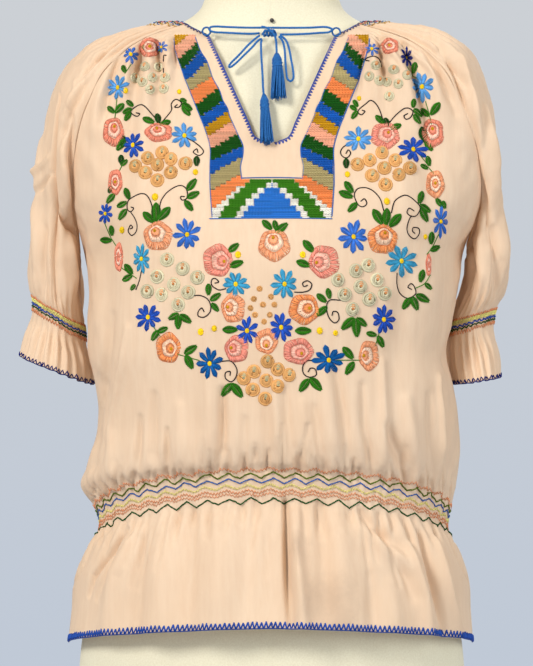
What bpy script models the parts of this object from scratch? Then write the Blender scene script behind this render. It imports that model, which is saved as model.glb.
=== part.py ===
"""Peasant blouse on a limbless dress form.

Units are metres in the scene and millimetres in the tables below. +Z is up, the
front faces -Y, +X is to the viewer's right, and the origin is the middle of the
form's flat base. Each cloth panel is a grid of points worked out from section
tables and given its thickness by Solidify.
"""

import math

import bmesh
import bpy
import numpy as np

MM = 0.001


def table(names, *rows):
    """A table with named columns: {name: array of that column's values}."""
    return {name: np.array(values, float) for name, values in zip(names.split(), zip(*rows))}


# Driving dimensions, mm
CLOTH = 1.2  # thickness of the cloth wall
SEAM_GAP = 0.4  # gap between two panels at a seam
HEM = 102  # height of the hem at the side seams
ARMPIT = 458  # height where the raglan seams end
CORD = 2.2  # diameter of the twisted lace
SLIT_BOTTOM = 556  # height of the foot of the neck slit
SLIT_FOOT_WIDTH = 17  # half-width where the rounded foot meets the straight edges
SLIT_FOOT_RISE = 9
SLIT_SLOPE = 0.45  # half-width gained per mm of height above the foot
UNDERARM_STEP = 3.4  # how far the sleeve stands off the body at the armpit
UNDERARM_REACH = 60  # height over which it closes to the raglan seam
BODY_CLEARANCE = 2.6  # least gap between the body panels and a sleeve beside them

# Body sections. level is the height of the raglan or side seam on that section;
# left and right are its half-widths there; spread is the seam's angle from the front.
BODY = table(
    "level left right seam_y back_seam_y back_seam_z front_y front_z back_y back_z spread",
    (667, 78, 78, -42, 54, 677, -78, 640, 80, 678, 54),
    (655, 108, 112, -62, 76, 665, -81, 624, 92, 655, 58),
    (630, 143, 148, -72, 88, 641, -89, 598, 102, 620, 64),
    (592, 166, 170, -72, 92, 602, -98, 566, 110, 580, 70),
    (548, 178, 186, -61, 84, 556, -112, 530, 114, 540, 76),
    (502, 180, 189, -40, 56, 506, -127, 492, 114, 500, 83),
    (458, 172, 175, -5, -5, 458, -138, 452, 110, 460, 90),
    (431, 167, 171, -15, -15, 431, -139, 425, 107, 432, 90),
    (400, 168, 165, -22, -22, 400, -137, 396, 105, 402, 90),
    (366, 167, 159, -26, -26, 366, -134, 366, 103, 368, 90),
    (335, 160, 166, -26, -26, 335, -132, 340, 102, 338, 90),
    (300, 159, 171, -20, -20, 300, -131, 311, 104, 308, 90),
    (262, 170, 171, -12, -12, 262, -129, 285, 109, 282, 90),
    (243, 174, 168, -8, -8, 243, -124, 272, 108, 268, 90),
    (225, 162, 164, -5, -5, 225, -115, 262, 101, 256, 90),
    (202, 159, 162, -4, -4, 202, -112, 234, 99, 230, 90),
    (189, 168, 170, -3, -3, 189, -118, 218, 108, 214, 90),
    (160, 181, 181, -2, -2, 160, -126, 187, 119, 184, 90),
    (130, 184, 183, 0, 0, 130, -131, 156, 126, 152, 90),
    (HEM, 187, 185, 0, 0, HEM, -134, 126, 130, 120, 90),
)

# Sleeve sections. level is the raglan seam's height above the armpit, and the height of
# the inner side below it. wrap is the angle from the outer line to the edge of the cloth.
SLEEVE_COLUMNS = "level inner outer outer_y outer_z bulge_front bulge_back wrap"
SLEEVES = {
    "left": table(
        SLEEVE_COLUMNS,
        (667, 78, 104, 5, 669, 47, 49, 92),
        (655, 108, 134, 8, 661, 66, 68, 92),
        (630, 143, 167, 10, 651, 80, 78, 94),
        (592, 166, 195, 12, 622, 84, 80, 98),
        (548, 178, 207, 15, 584, 80, 78, 110),
        (502, 180, 214, 17, 540, 70, 70, 138),
        (458, 172, 219, 18, 498, 62, 64, 180),
        (440, 173, 223, 18, 470, 62, 66, 180),
        (420, 172, 225, 18, 446, 60, 66, 180),
        (400, 171, 224, 18, 428, 56, 60, 180),
        (386, 169, 221, 17, 415, 50, 53, 180),
        (371, 168, 222, 17, 399, 49, 51, 180),
        (356, 164, 227, 17, 383, 56, 59, 180),
        (339, 161, 232, 18, 365, 62, 66, 180),
    ),
    "right": table(
        SLEEVE_COLUMNS,
        (667, 78, 98, 5, 670, 47, 49, 92),
        (655, 112, 136, 8, 666, 66, 68, 92),
        (630, 148, 169, 10, 656, 80, 78, 94),
        (592, 170, 191, 12, 633, 84, 80, 98),
        (548, 186, 203, 15, 591, 80, 78, 110),
        (502, 189, 209, 17, 542, 70, 70, 138),
        (458, 175, 215, 18, 494, 62, 64, 180),
        (441, 174, 220, 18, 470, 62, 66, 180),
        (424, 170, 220, 18, 450, 60, 66, 180),
        (408, 165, 216, 18, 428, 54, 60, 180),
        (394, 160, 206, 18, 407, 47, 52, 180),
        (380, 159, 204, 18, 392, 46, 50, 180),
        (361, 160, 209, 18, 368, 54, 58, 180),
        (339, 163, 212, 18, 346, 62, 66, 180),
    ),
}

# Largest folds of the body. around is the place in percent of the way from the centre
# to the side seam (minus on the left); a negative depth is a trough.
FOLD_COLUMNS = "top_around top_z foot_around foot_z depth width"
FRONT_FOLDS = table(
    FOLD_COLUMNS,
    (6, 240, 7, 128, -6.5, 4.5),
    (12, 235, 15, 120, 4.0, 7),
    (-62, 212, -74, 138, -4.5, 5),
    (-40, 228, -52, 118, 3.0, 9),
    (-22, 236, -24, 120, 2.5, 10),
    (32, 232, 46, 150, -4.0, 5),
    (52, 226, 72, 118, -5.0, 5),
    (60, 222, 82, 110, 4.0, 6),
    (-30, 330, -27, 262, -3.0, 7),
    (8, 345, 3, 264, -2.5, 6),
    (44, 420, 30, 268, -3.5, 8),
    (56, 400, 62, 262, 3.0, 9),
    (-66, 420, -60, 262, -3.5, 10),
    (-48, 400, -44, 270, 2.5, 10),
    (-46, 645, -62, 520, -3.0, 9),
    (62, 640, 74, 510, -3.0, 8),
)
BACK_FOLDS = table(
    FOLD_COLUMNS,
    (-70, 220, -78, 116, -4.5, 6),
    (-38, 226, -46, 118, -5.0, 6),
    (-14, 230, -12, 120, 3.5, 9),
    (16, 230, 20, 120, -5.0, 6),
    (48, 226, 56, 118, 3.5, 8),
    (68, 222, 80, 114, -4.5, 6),
    (-52, 600, -46, 300, -3.5, 9),
    (-16, 640, -12, 420, 2.5, 9),
    (20, 560, 14, 280, -3.5, 9),
    (52, 610, 60, 330, -3.0, 9),
)
# The same for a sleeve: around runs from -100, the front of the inner seam, through 0,
# the outer line, to 100 at the back.
SLEEVE_FOLDS = {
    "left": table(
        FOLD_COLUMNS,
        (-42, 625, -46, 470, -4.0, 8),
        (-46, 500, -38, 425, -4.0, 7),
        (-60, 520, -72, 430, 2.5, 9),
        (45, 610, 40, 440, -4.0, 9),
        (-30, 384, -34, 345, -4.0, 7),
        (-55, 380, -60, 340, 3.5, 7),
        (22, 386, 26, 350, -3.5, 8),
        (62, 380, 60, 340, -3.5, 8),
    ),
    "right": table(
        FOLD_COLUMNS,
        (-44, 640, -56, 520, -3.5, 8),
        (-52, 540, -40, 430, -3.0, 9),
        (40, 600, 46, 440, -4.0, 9),
        (-16, 372, -12, 340, -5.0, 6),
        (-50, 372, -54, 340, -3.5, 8),
        (34, 372, 30, 345, -3.5, 8),
        (70, 374, 70, 340, 3.5, 8),
    ),
}

# Dress form sections, bottom to top
FORM = table(
    "z half_width front back",
    (0, 171, 99, 117),
    (45, 177, 102, 120),
    (90, 176, 103, 119),
    (130, 170, 101, 116),
    (170, 158, 97, 108),
    (215, 144, 92, 96),
    (260, 130, 88, 86),
    (300, 125, 86, 80),
    (345, 130, 92, 84),
    (390, 140, 105, 90),
    (430, 149, 114, 95),
    (470, 156, 116, 99),
    (510, 161, 108, 101),
    (545, 164, 97, 102),
    (580, 165, 87, 98),
    (605, 162, 80, 92),
    (622, 155, 74, 86),
    (636, 144, 68, 80),
    (648, 130, 63, 75),
    (658, 112, 59, 70),
    (666, 94, 56, 66),
    (673, 79, 54, 62),
    (681, 68, 53, 58),
    (692, 62, 53, 55),
    (715, 58, 51, 52),
    (752, 55, 49, 49),
)
FORM_SIDES = 36
CAP_HEIGHT = 6
CAP_INSET = 3
CAP_BEVEL = 3
FORM_GAP = 0.3  # between the form and the cap or pin on it
PIN_HEIGHT = 668.5
PIN_RADIUS = 2.0

# Grid sizes of the panels
FRONT_HALF_COLUMNS = 12
BACK_COLUMNS = 22
SLEEVE_COLUMN_COUNT = 18

# Route points of the lace and the places of its knot, eyelets and tassels, mm. Each
# route is a list of points (x, y, z) along the real cord.
EYELETS = {"left": (-59.0, -63.6, 658.0), "right": (58.0, -63.6, 657.5)}
EYELET_RADIUS = 3.6
EYELET_WIRE = 0.9
KNOT = (-2.5, -74.0, 655.5)
KNOT_SIZE = (15.0, 7.0, 7.4)
LACE = {
    "lace_cross": (
        (-11.2, -71.6, 655.6),
        (-20, -70.6, 655.2),
        (-32, -69.4, 655.8),
        (-44, -67.4, 656.6),
        (-52.5, -66.2, 657.2),
        (-56.6, -66.6, 659.6),
        (-53, -67.2, 662.0),
        (-40, -67.2, 661.6),
        (-24, -67.8, 661.0),
        (-4, -68.2, 660.9),
        (16, -68.0, 660.8),
        (34, -67.4, 661.0),
        (48, -67.0, 661.6),
        (54.2, -66.4, 659.6),
        (51, -66.4, 657.0),
        (42, -67.6, 656.2),
        (30, -69.4, 655.2),
        (18, -70.8, 654.6),
        (7.2, -72.0, 654.4),
    ),
    "bow_loop_left": (
        (-11.0, -76.2, 653.2),
        (-16, -78.0, 649.4),
        (-23, -79.6, 642.6),
        (-30, -81.0, 634.8),
        (-36, -82.0, 628.8),
        (-38.6, -82.8, 625.0),
        (-36.4, -83.6, 624.6),
        (-31, -83.4, 629.0),
        (-24.6, -82.6, 635.4),
        (-17.6, -80.6, 642.4),
        (-12.6, -79.0, 648.2),
        (-9.4, -77.6, 650.2),
    ),
    "bow_loop_right": (
        (6.2, -76.6, 652.4),
        (9.6, -78.4, 648.0),
        (11.4, -80.8, 640.0),
        (12.0, -83.0, 630.0),
        (12.8, -85.0, 620.0),
        (13.8, -86.4, 613.8),
        (16.8, -87.0, 611.4),
        (19.2, -86.4, 614.6),
        (18.8, -84.8, 622.0),
        (17.2, -82.8, 631.0),
        (15.6, -80.6, 640.0),
        (12.8, -77.8, 648.4),
        (7.6, -74.6, 653.6),
    ),
    "tail_left": (
        (-9.2, -80.0, 649.0),
        (-9.8, -81.0, 645.0),
        (-9.6, -82.6, 636.0),
        (-9.0, -84.6, 626.0),
        (-8.4, -86.8, 616.0),
        (-8.0, -89.0, 606.0),
        (-7.4, -90.8, 599.6),
    ),
    "tail_right": (
        (-8.2, -79.6, 660.6),
        (-5.0, -81.0, 659.6),
        (-1.0, -81.8, 656.6),
        (2.2, -82.0, 652.6),
        (3.6, -82.2, 648.4),
        (4.0, -82.6, 643.0),
        (4.2, -83.2, 637.0),
    ),
}
# Tassels: head and skirt as a turned outline, mm from the tassel's top
TASSELS = {
    "tassel_left": ((-7.2, -91.4, 599.0), (-4.5, -108.2, 554.5), 1.0),
    "tassel_right": ((4.3, -83.5, 636.4), (5.8, -91.6, 595.0), 1.15),
}
TASSEL_OUTLINE = table(
    "down radius",
    (0.00, 1.4),
    (0.05, 2.4),
    (0.11, 4.0),
    (0.18, 4.2),
    (0.25, 3.2),
    (0.32, 4.4),
    (0.55, 5.4),
    (0.85, 6.2),
    (1.00, 6.6),
)
TASSEL_SIDES = 12


# ---------------------------------------------------------------- reading the tables


def smooth(places, values, at):
    """A smooth curve through the values at their places, which rise."""
    at = np.clip(np.asarray(at, float), places[0], places[-1])
    slopes = np.gradient(values, places)
    i = np.clip(np.searchsorted(places, at, side="right") - 1, 0, len(places) - 2)
    width = places[i + 1] - places[i]
    t = (at - places[i]) / width
    return (
        (1 + 2 * t) * (1 - t) ** 2 * values[i]
        + t * (1 - t) ** 2 * width * slopes[i]
        + t * t * (3 - 2 * t) * values[i + 1]
        - t * t * (1 - t) * width * slopes[i + 1]
    )


def column(rows, name, level):
    """A column at a height, from a table whose level falls from row to row."""
    return smooth(rows["level"][::-1], rows[name][::-1], level)


def folds(rows, around, z):
    """Height of the folds at a place on a panel, each a soft ridge or trough."""
    height = np.zeros(np.broadcast(around, z).shape)
    for top_around, top_z, foot_around, foot_z, depth, width in zip(*rows.values()):
        along = (top_z - z) / (top_z - foot_z)
        middle = top_around + (foot_around - top_around) * along
        fade = np.sin(math.pi * np.clip(along * 0.8 + 0.12, 0, 1)) ** 2
        height = height + depth * fade * np.exp(-(((around - middle) / width) ** 2))
    return height


# ---------------------------------------------------------------- body and sleeves


def body_point(face, side, level, u):
    """Point of the front or back panel: u is 0 at its centre and 1 at its seam."""
    half_width = column(BODY, side, level)
    raglan = "back_" if face == "back" and level > ARMPIT else ""
    seam_y = column(BODY, raglan + "seam_y", level)
    seam_z = column(BODY, raglan + "seam_z", level) if raglan else level
    centre_y = column(BODY, face + "_y", level)
    centre_z = column(BODY, face + "_z", level)
    spread = np.radians(column(BODY, "spread", level))
    across = np.sin(spread * u) / np.sin(spread)
    towards_centre = (np.cos(spread * u) - np.cos(spread)) / (1 - np.cos(spread))
    x = half_width * across * (-1 if side == "left" else 1)
    y = seam_y + (centre_y - seam_y) * towards_centre
    z = centre_z + (seam_z - centre_z) * u**1.5
    return np.stack([x, y, z], axis=-1)


def body_half_width(side, y, level):
    """How far the body reaches sideways at a depth y, below the armpit."""
    seam_y = column(BODY, "seam_y", level)
    depth = np.where(y < seam_y, column(BODY, "front_y", level), column(BODY, "back_y", level))
    part = np.clip((y - seam_y) / (depth - seam_y), 0, 1)
    return column(BODY, side, level) * np.sqrt(1 - part**2)


def sleeve_point(side, level, v):
    """Point of a sleeve: v runs from -1 at the front seam over 0 outside to 1 behind."""
    rows = SLEEVES[side]
    above = max(0.0, level - ARMPIT)
    outer, outer_y, outer_z = (column(rows, name, level) for name in ("outer", "outer_y", "outer_z"))
    if above:
        inner = column(BODY, side, level) + UNDERARM_STEP * max(0, 1 - above / UNDERARM_REACH)
        edge_y = np.where(v < 0, column(BODY, "seam_y", level), column(BODY, "back_seam_y", level))
        edge_z = np.where(v < 0, level, column(BODY, "back_seam_z", level))
    else:
        inner = column(rows, "inner", level) + UNDERARM_STEP
        near = max(0, 1 - (ARMPIT - level) / UNDERARM_REACH)
        edge_y = outer_y + (column(BODY, "seam_y", ARMPIT) - outer_y) * near
        edge_z = level
    wrap = math.radians(float(column(rows, "wrap", level)))
    progress = (1 - np.cos(wrap * v)) / (1 - math.cos(wrap))
    x = outer + (inner - outer) * progress
    bulge = np.where(v < 0, column(rows, "bulge_front", level), column(rows, "bulge_back", level))
    arc_end = outer_y + bulge * math.sin(wrap) * np.sign(v)
    y = outer_y + bulge * np.sin(wrap * v) + (edge_y - arc_end) * np.abs(v) ** 4
    z = outer_z + (edge_z - outer_z) * progress
    if not above:
        beside = body_half_width(side, y, np.clip(z, HEM, ARMPIT)) + BODY_CLEARANCE + CLOTH
        x = np.maximum(x, beside)
    return np.stack([x * (-1 if side == "left" else 1), y, z], axis=-1)


def slit_half_width(z):
    """Half-width of the neck slit: straight edges on a rounded foot."""
    rise = np.maximum(z - SLIT_BOTTOM, 0)
    foot = SLIT_FOOT_WIDTH * np.sqrt(np.clip(1 - (1 - rise / SLIT_FOOT_RISE) ** 2, 0, 1))
    return np.where(rise < SLIT_FOOT_RISE, foot, SLIT_FOOT_WIDTH + SLIT_SLOPE * (rise - SLIT_FOOT_RISE))


def slit_edge(side, level):
    """Where the slit's edge lies on a section, as u."""
    low, high = 0.0, 1.0
    for _ in range(40):
        u = (low + high) / 2
        x, _, z = body_point("front", side, level, u)
        low, high = (low, u) if abs(x) > slit_half_width(z) else (u, high)
    return high


# ---------------------------------------------------------------- meshes


def collection(name):
    made = bpy.data.collections.new(name)
    bpy.context.scene.collection.children.link(made)
    return made


def material(name, colour, roughness):
    made = bpy.data.materials.new(name)
    made.use_nodes = True
    shader = made.node_tree.nodes["Principled BSDF"]
    shader.inputs["Base Color"].default_value = (*colour, 1)
    shader.inputs["Roughness"].default_value = roughness
    made.diffuse_color = (*colour, 1)
    return made


def add_object(name, points, faces, finish, into):
    mesh = bpy.data.meshes.new(name)
    mesh.from_pydata([tuple(p * MM for p in point) for point in points], [], faces)
    mesh.update()
    mesh.shade_smooth()
    mesh.materials.append(finish)
    made = bpy.data.objects.new(name, mesh)
    into.objects.link(made)
    return made


def with_folds(grid, heights):
    """Moves a grid's points out along its own normals by the folds' heights."""
    along = np.gradient(grid, axis=1)
    down = np.gradient(grid, axis=0)
    normal = np.cross(down, along)
    length = np.linalg.norm(normal, axis=-1, keepdims=True)
    return grid + normal / np.maximum(length, 1e-9) * heights[..., None]


def pulled_back(grid, setback):
    """Moves the first and last column in from the seams, along the rows."""
    grid = grid.copy()
    for edge, beside in ((0, 1), (-1, -2)):
        run = grid[:, beside] - grid[:, edge]
        length = np.linalg.norm(run, axis=-1, keepdims=True)
        grid[:, edge] += run / length * setback[:, None]
    return grid


def grid_faces(rows, columns):
    """Quads of a grid of points, numbered row by row, facing out of the garment."""
    return [
        (i * columns + j, (i + 1) * columns + j, (i + 1) * columns + j + 1, i * columns + j + 1)
        for i in range(rows - 1)
        for j in range(columns - 1)
    ]


def body_levels():
    """Heights of the body's rows, closest together at the slit's foot and the waist band."""
    yoke = [667, 659, 648, 634, 617, 598, 587, 581, 578.5, 577]
    chest = [562, 544, 522, 500, 478, 458]
    waist = [436, 410, 382, 352, 322, 294, 270, 254, 239, 225, 213, 202]
    skirt = [192, 178, 160, 140, 120, HEM]
    return np.array(yoke + chest + waist + skirt, float)


def seam_setback(levels):
    """How far a panel's edge stays back from its seam, mm. Near the armpit the panels
    meet at a sharper angle, so their walls need more room."""
    near = np.exp(-(((levels - ARMPIT) / 55) ** 2)) * (levels > ARMPIT)
    return SEAM_GAP / 2 + np.where(levels > ARMPIT, 0.7, 0) + 2.0 * near


def front_panel(finish, into):
    levels = body_levels()
    around = np.linspace(0, 1, FRONT_HALF_COLUMNS + 1)
    halves = []
    for side in ("left", "right"):
        rows = []
        for level in levels:
            start = slit_edge(side, level) if level > slit_foot_level() else 0.0
            u = start + (1 - start) * around
            rows.append(body_point("front", side, level, u))
        grid = np.array(rows)
        halves.append(grid[:, ::-1] if side == "left" else grid)
    joined = np.concatenate([halves[0], halves[1][:, 1:]], axis=1)
    # above the slit's foot the two halves have an edge each
    sign = np.concatenate([-around[::-1], around[1:]])
    heights = folds(FRONT_FOLDS, sign[None] * 100, joined[..., 2]) * edge_fade(sign)[None]
    flat = pulled_back(joined, seam_setback(levels))
    moved = with_folds(flat, heights)
    points = moved.reshape(-1, 3)
    columns = joined.shape[1]
    faces = grid_faces(len(levels), columns)
    middle = FRONT_HALF_COLUMNS
    foot_row = int(np.argmax(levels <= slit_foot_level()))
    extra = {}
    for i in range(foot_row):
        extra[i * columns + middle] = len(points) + len(extra)
    right_edges = [halves[1][i, 0] for i in range(foot_row)]
    points = np.concatenate([points, right_edges])
    faces = [
        tuple(extra.get(p, p) for p in face) if (n % (columns - 1)) >= middle else face
        for n, face in enumerate(faces)
    ]
    return add_object("front", points, faces, finish, into)


def slit_foot_level():
    """The section whose centre is at the slit's foot."""
    return float(smooth(BODY["front_z"][::-1], BODY["level"][::-1], SLIT_BOTTOM))


def edge_fade(around):
    """Folds die away at a panel's seams, so that the panels still meet."""
    return np.clip((1 - np.abs(around)) / 0.12, 0, 1)


def back_panel(finish, into):
    levels = body_levels()
    u = np.linspace(-1, 1, BACK_COLUMNS + 1)
    rows = []
    for level in levels:
        right = body_point("back", "right", level, np.abs(u))
        left = body_point("back", "left", level, np.abs(u))
        rows.append(np.where(u[:, None] < 0, right, left))
    grid = pulled_back(np.array(rows), seam_setback(levels))
    heights = folds(BACK_FOLDS, u[None] * 100, grid[..., 2]) * edge_fade(u)[None]
    grid = with_folds(grid, heights)
    faces = grid_faces(len(levels), len(u))
    return add_object("back", grid.reshape(-1, 3), faces, finish, into)


def sleeve_levels(side):
    upper = [667, 655, 640, 620, 597, 572, 546, 522, 500, 482, 468, 458]
    lower = {
        "left": [446, 432, 416, 400, 386, 378, 371, 362, 350, 339],
        "right": [446, 434, 420, 407, 394, 387, 380, 370, 355, 339],
    }
    return np.array(upper + lower[side], float)


def sleeve_panel(side, finish, into):
    levels = sleeve_levels(side)
    v = np.linspace(-1, 1, SLEEVE_COLUMN_COUNT + 1)
    # closer together where the cloth turns at the front and back
    v = v + 0.05 * np.sin(2 * math.pi * v)
    grid = np.array([sleeve_point(side, level, v) for level in levels])
    if side == "left":
        grid, v = grid[:, ::-1], v[::-1]
    setback = seam_setback(levels)
    grid = pulled_back(grid, setback)
    heights = folds(SLEEVE_FOLDS[side], v[None] * 100, grid[..., 2]) * edge_fade(v)[None]
    grid = with_folds(grid, heights)
    closed_from = len(levels) - len(levels[levels < ARMPIT])
    rows, columns = grid.shape[:2]
    points = [tuple(p) for p in grid.reshape(-1, 3)]
    faces = grid_faces(rows, columns)
    # below the armpit the two edges are one inseam
    first = {i * columns + columns - 1: i * columns for i in range(closed_from, rows)}
    for i in range(closed_from, rows):
        edge = (grid[i, 0] + grid[i, -1]) / 2
        points[i * columns] = tuple(edge)
    faces = [tuple(first.get(p, p) for p in face) for face in faces]
    made = add_object("sleeve_" + side, points, faces, finish, into)
    drop_loose_points(made.data)
    return made


def drop_loose_points(mesh):
    work = bmesh.new()
    work.from_mesh(mesh)
    loose = [v for v in work.verts if not v.link_faces]
    bmesh.ops.delete(work, geom=loose, context="VERTS")
    work.to_mesh(mesh)
    work.free()


def add_wall(cloth):
    wall = cloth.modifiers.new("wall", "SOLIDIFY")
    wall.thickness = CLOTH * MM
    wall.offset = 0
    wall.use_even_offset = False


# ---------------------------------------------------------------- the form


def form_ring(z):
    half_width, front, back = (smooth(FORM["z"], FORM[name], z) for name in ("half_width", "front", "back"))
    angle = np.linspace(0, 2 * math.pi, FORM_SIDES, endpoint=False)
    depth = np.where(np.cos(angle) > 0, front, back)
    return np.stack([half_width * np.sin(angle), -depth * np.cos(angle), np.full(FORM_SIDES, z)], axis=-1)


def form_torso(finish, into):
    heights = list(FORM["z"])
    heights.insert(1, 20)
    rings = np.array([form_ring(z) for z in heights])
    rows = len(rings)
    faces = []
    for i in range(rows - 1):
        for j in range(FORM_SIDES):
            k = (j + 1) % FORM_SIDES
            upper, lower = i * FORM_SIDES, (i + 1) * FORM_SIDES
            faces.append((upper + j, upper + k, lower + k, lower + j))
    faces.append(tuple(reversed(range(FORM_SIDES))))
    faces.append(tuple((rows - 1) * FORM_SIDES + j for j in range(FORM_SIDES)))
    return add_object("form_torso", rings.reshape(-1, 3), faces, finish, into)


def turned(name, profile, finish, into, sides=32):
    """A turned solid about Z from a profile of (radius, z), top to bottom."""
    mesh = bpy.data.meshes.new(name)
    points = [(r * MM, 0, z * MM) for r, z in profile]
    edges = [(i, i + 1) for i in range(len(profile) - 1)]
    mesh.from_pydata(points, edges, [])
    mesh.materials.append(finish)
    made = bpy.data.objects.new(name, mesh)
    into.objects.link(made)
    screw = made.modifiers.new("turn", "SCREW")
    screw.steps = screw.render_steps = sides
    screw.use_merge_vertices = True
    screw.merge_threshold = 0.00001
    screw.use_smooth_shade = True
    return made


def form_cap(finish, into):
    foot = float(FORM["z"][-1]) + FORM_GAP
    top = foot + CAP_HEIGHT
    radius = float(FORM["half_width"][-1]) - CAP_INSET
    profile = [
        (0, top),
        (radius - CAP_BEVEL, top),
        (radius, top - CAP_BEVEL),
        (radius, foot),
        (0, foot),
    ]
    cap = turned("form_cap", profile, finish, into)
    cap.scale = (1, float(FORM["front"][-1] - CAP_INSET) / radius, 1)
    return cap


def form_pin(finish, into):
    mesh = bpy.data.meshes.new("form_pin")
    work = bmesh.new()
    bmesh.ops.create_uvsphere(work, u_segments=12, v_segments=8, radius=PIN_RADIUS * MM)
    work.to_mesh(mesh)
    work.free()
    mesh.shade_smooth()
    mesh.materials.append(finish)
    pin = bpy.data.objects.new("form_pin", mesh)
    into.objects.link(pin)
    front = float(smooth(FORM["z"], FORM["front"], PIN_HEIGHT))
    pin.location = (0, -(front + PIN_RADIUS + FORM_GAP) * MM, PIN_HEIGHT * MM)
    return pin


# ---------------------------------------------------------------- the lace


def smooth_route(points, spacing):
    """Points about spacing apart on a smooth curve through the route's points."""
    points = np.array(points, float)
    run = np.concatenate([[0], np.cumsum(np.linalg.norm(np.diff(points, axis=0), axis=1))])
    count = max(4, int(run[-1] / spacing) + 1)
    at = np.linspace(0, run[-1], count)
    return np.stack([smooth(run, points[:, axis], at) for axis in range(3)], axis=-1)


def cord(name, points, finish, into):
    curve = bpy.data.curves.new(name, "CURVE")
    curve.dimensions = "3D"
    curve.bevel_depth = CORD / 2 * MM
    curve.bevel_resolution = 2
    curve.use_fill_caps = True
    curve.materials.append(finish)
    places = smooth_route(points, 2.6 * CORD)
    spline = curve.splines.new("POLY")
    spline.points.add(len(places) - 1)
    for point, place in zip(spline.points, places):
        point.co = (*(place * MM), 1)
    made = bpy.data.objects.new(name, curve)
    into.objects.link(made)
    return made


def knot(finish, into):
    mesh = bpy.data.meshes.new("bow_knot")
    work = bmesh.new()
    bmesh.ops.create_uvsphere(work, u_segments=14, v_segments=10, radius=0.5)
    bmesh.ops.scale(work, vec=[size * MM for size in KNOT_SIZE], verts=work.verts)
    bmesh.ops.translate(work, vec=[place * MM for place in KNOT], verts=work.verts)
    work.to_mesh(mesh)
    work.free()
    mesh.shade_smooth()
    mesh.materials.append(finish)
    made = bpy.data.objects.new("bow_knot", mesh)
    into.objects.link(made)
    return made


def eyelet(side, finish, into):
    bpy.ops.mesh.primitive_torus_add(
        major_segments=16,
        minor_segments=8,
        major_radius=EYELET_RADIUS * MM,
        minor_radius=EYELET_WIRE * MM,
        location=[place * MM for place in EYELETS[side]],
        rotation=(math.radians(90), 0, 0),
    )
    made = bpy.context.object
    made.name = made.data.name = "eyelet_" + side
    made.data.shade_smooth()
    made.data.materials.append(finish)
    for holder in list(made.users_collection):
        holder.objects.unlink(made)
    into.objects.link(made)
    return made


def tassel(name, top, foot, fullness, finish, into):
    top, foot = np.array(top), np.array(foot)
    axis = foot - top
    ahead = axis / np.linalg.norm(axis)
    across = np.cross(ahead, (0, 1, 0))
    across /= np.linalg.norm(across)
    deep = np.cross(ahead, across)
    angle = np.linspace(0, 2 * math.pi, TASSEL_SIDES, endpoint=False)
    circle = np.cos(angle)[:, None] * across + np.sin(angle)[:, None] * deep * 0.72
    rings = [
        top + axis * down + circle * radius * fullness
        for down, radius in zip(TASSEL_OUTLINE["down"], TASSEL_OUTLINE["radius"])
    ]
    rows = len(rings)
    faces = []
    for i in range(rows - 1):
        for j in range(TASSEL_SIDES):
            k = (j + 1) % TASSEL_SIDES
            upper, lower = i * TASSEL_SIDES, (i + 1) * TASSEL_SIDES
            faces.append((upper + j, upper + k, lower + k, lower + j))
    faces.append(tuple(reversed(range(TASSEL_SIDES))))
    faces.append(tuple((rows - 1) * TASSEL_SIDES + j for j in range(TASSEL_SIDES)))
    made = add_object(name, np.concatenate(rings), faces, finish, into)
    work = bmesh.new()
    work.from_mesh(made.data)
    bmesh.ops.recalc_face_normals(work, faces=work.faces)
    work.to_mesh(made.data)
    work.free()
    return made


# ---------------------------------------------------------------- the whole


def main():
    for old in list(bpy.data.objects):
        bpy.data.objects.remove(old, do_unlink=True)
    into = collection("peasant_blouse_on_dress_form")
    cotton = material("crepe", (0.87, 0.69, 0.49), 0.85)
    canvas = material("canvas", (0.87, 0.83, 0.68), 0.8)
    blue = material("blue_thread", (0.02, 0.10, 0.40), 0.6)
    black = material("black_pin", (0.02, 0.02, 0.02), 0.4)

    for cloth in (
        front_panel(cotton, into),
        back_panel(cotton, into),
        sleeve_panel("left", cotton, into),
        sleeve_panel("right", cotton, into),
    ):
        add_wall(cloth)

    form_torso(canvas, into)
    form_cap(canvas, into)
    form_pin(black, into)
    for side in EYELETS:
        eyelet(side, blue, into)
    knot(blue, into)
    for name, points in LACE.items():
        cord(name, points, blue, into)
    for name, (top, foot, fullness) in TASSELS.items():
        tassel(name, top, foot, fullness, blue, into)


if __name__ == "__main__":
    main()
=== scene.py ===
"""Looks of the peasant blouse on its dress form.

The tables are in millimetres, as in the part: +Z is up, the front faces -Y and +X is to
the viewer's right. The cloth is worked out from the same section tables as its solids, on
finer grids, with its folds laid on one by one. Every stitch is a raised thread on that cloth.
"""

import math
import random

import bpy
import numpy as np
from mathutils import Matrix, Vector, noise
from mathutils.bvhtree import BVHTree


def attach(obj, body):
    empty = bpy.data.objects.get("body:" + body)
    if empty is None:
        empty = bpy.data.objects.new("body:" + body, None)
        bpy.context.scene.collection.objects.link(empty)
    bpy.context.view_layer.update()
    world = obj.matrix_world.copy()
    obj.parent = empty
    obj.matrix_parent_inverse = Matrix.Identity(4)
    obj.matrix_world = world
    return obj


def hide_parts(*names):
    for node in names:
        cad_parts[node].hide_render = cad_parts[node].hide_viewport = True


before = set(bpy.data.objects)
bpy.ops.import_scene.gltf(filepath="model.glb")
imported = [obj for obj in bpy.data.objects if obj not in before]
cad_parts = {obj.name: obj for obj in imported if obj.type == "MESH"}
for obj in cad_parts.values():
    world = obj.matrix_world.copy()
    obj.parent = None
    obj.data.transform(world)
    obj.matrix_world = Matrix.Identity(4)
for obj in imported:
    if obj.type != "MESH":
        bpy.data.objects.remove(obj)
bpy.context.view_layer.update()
MM = 0.001


def table(names, *rows):
    """A table with named columns: {name: array of that column's values}."""
    return {name: np.array(values, float) for name, values in zip(names.split(), zip(*rows))}


# ---------------------------------------------------------------- camera

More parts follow.
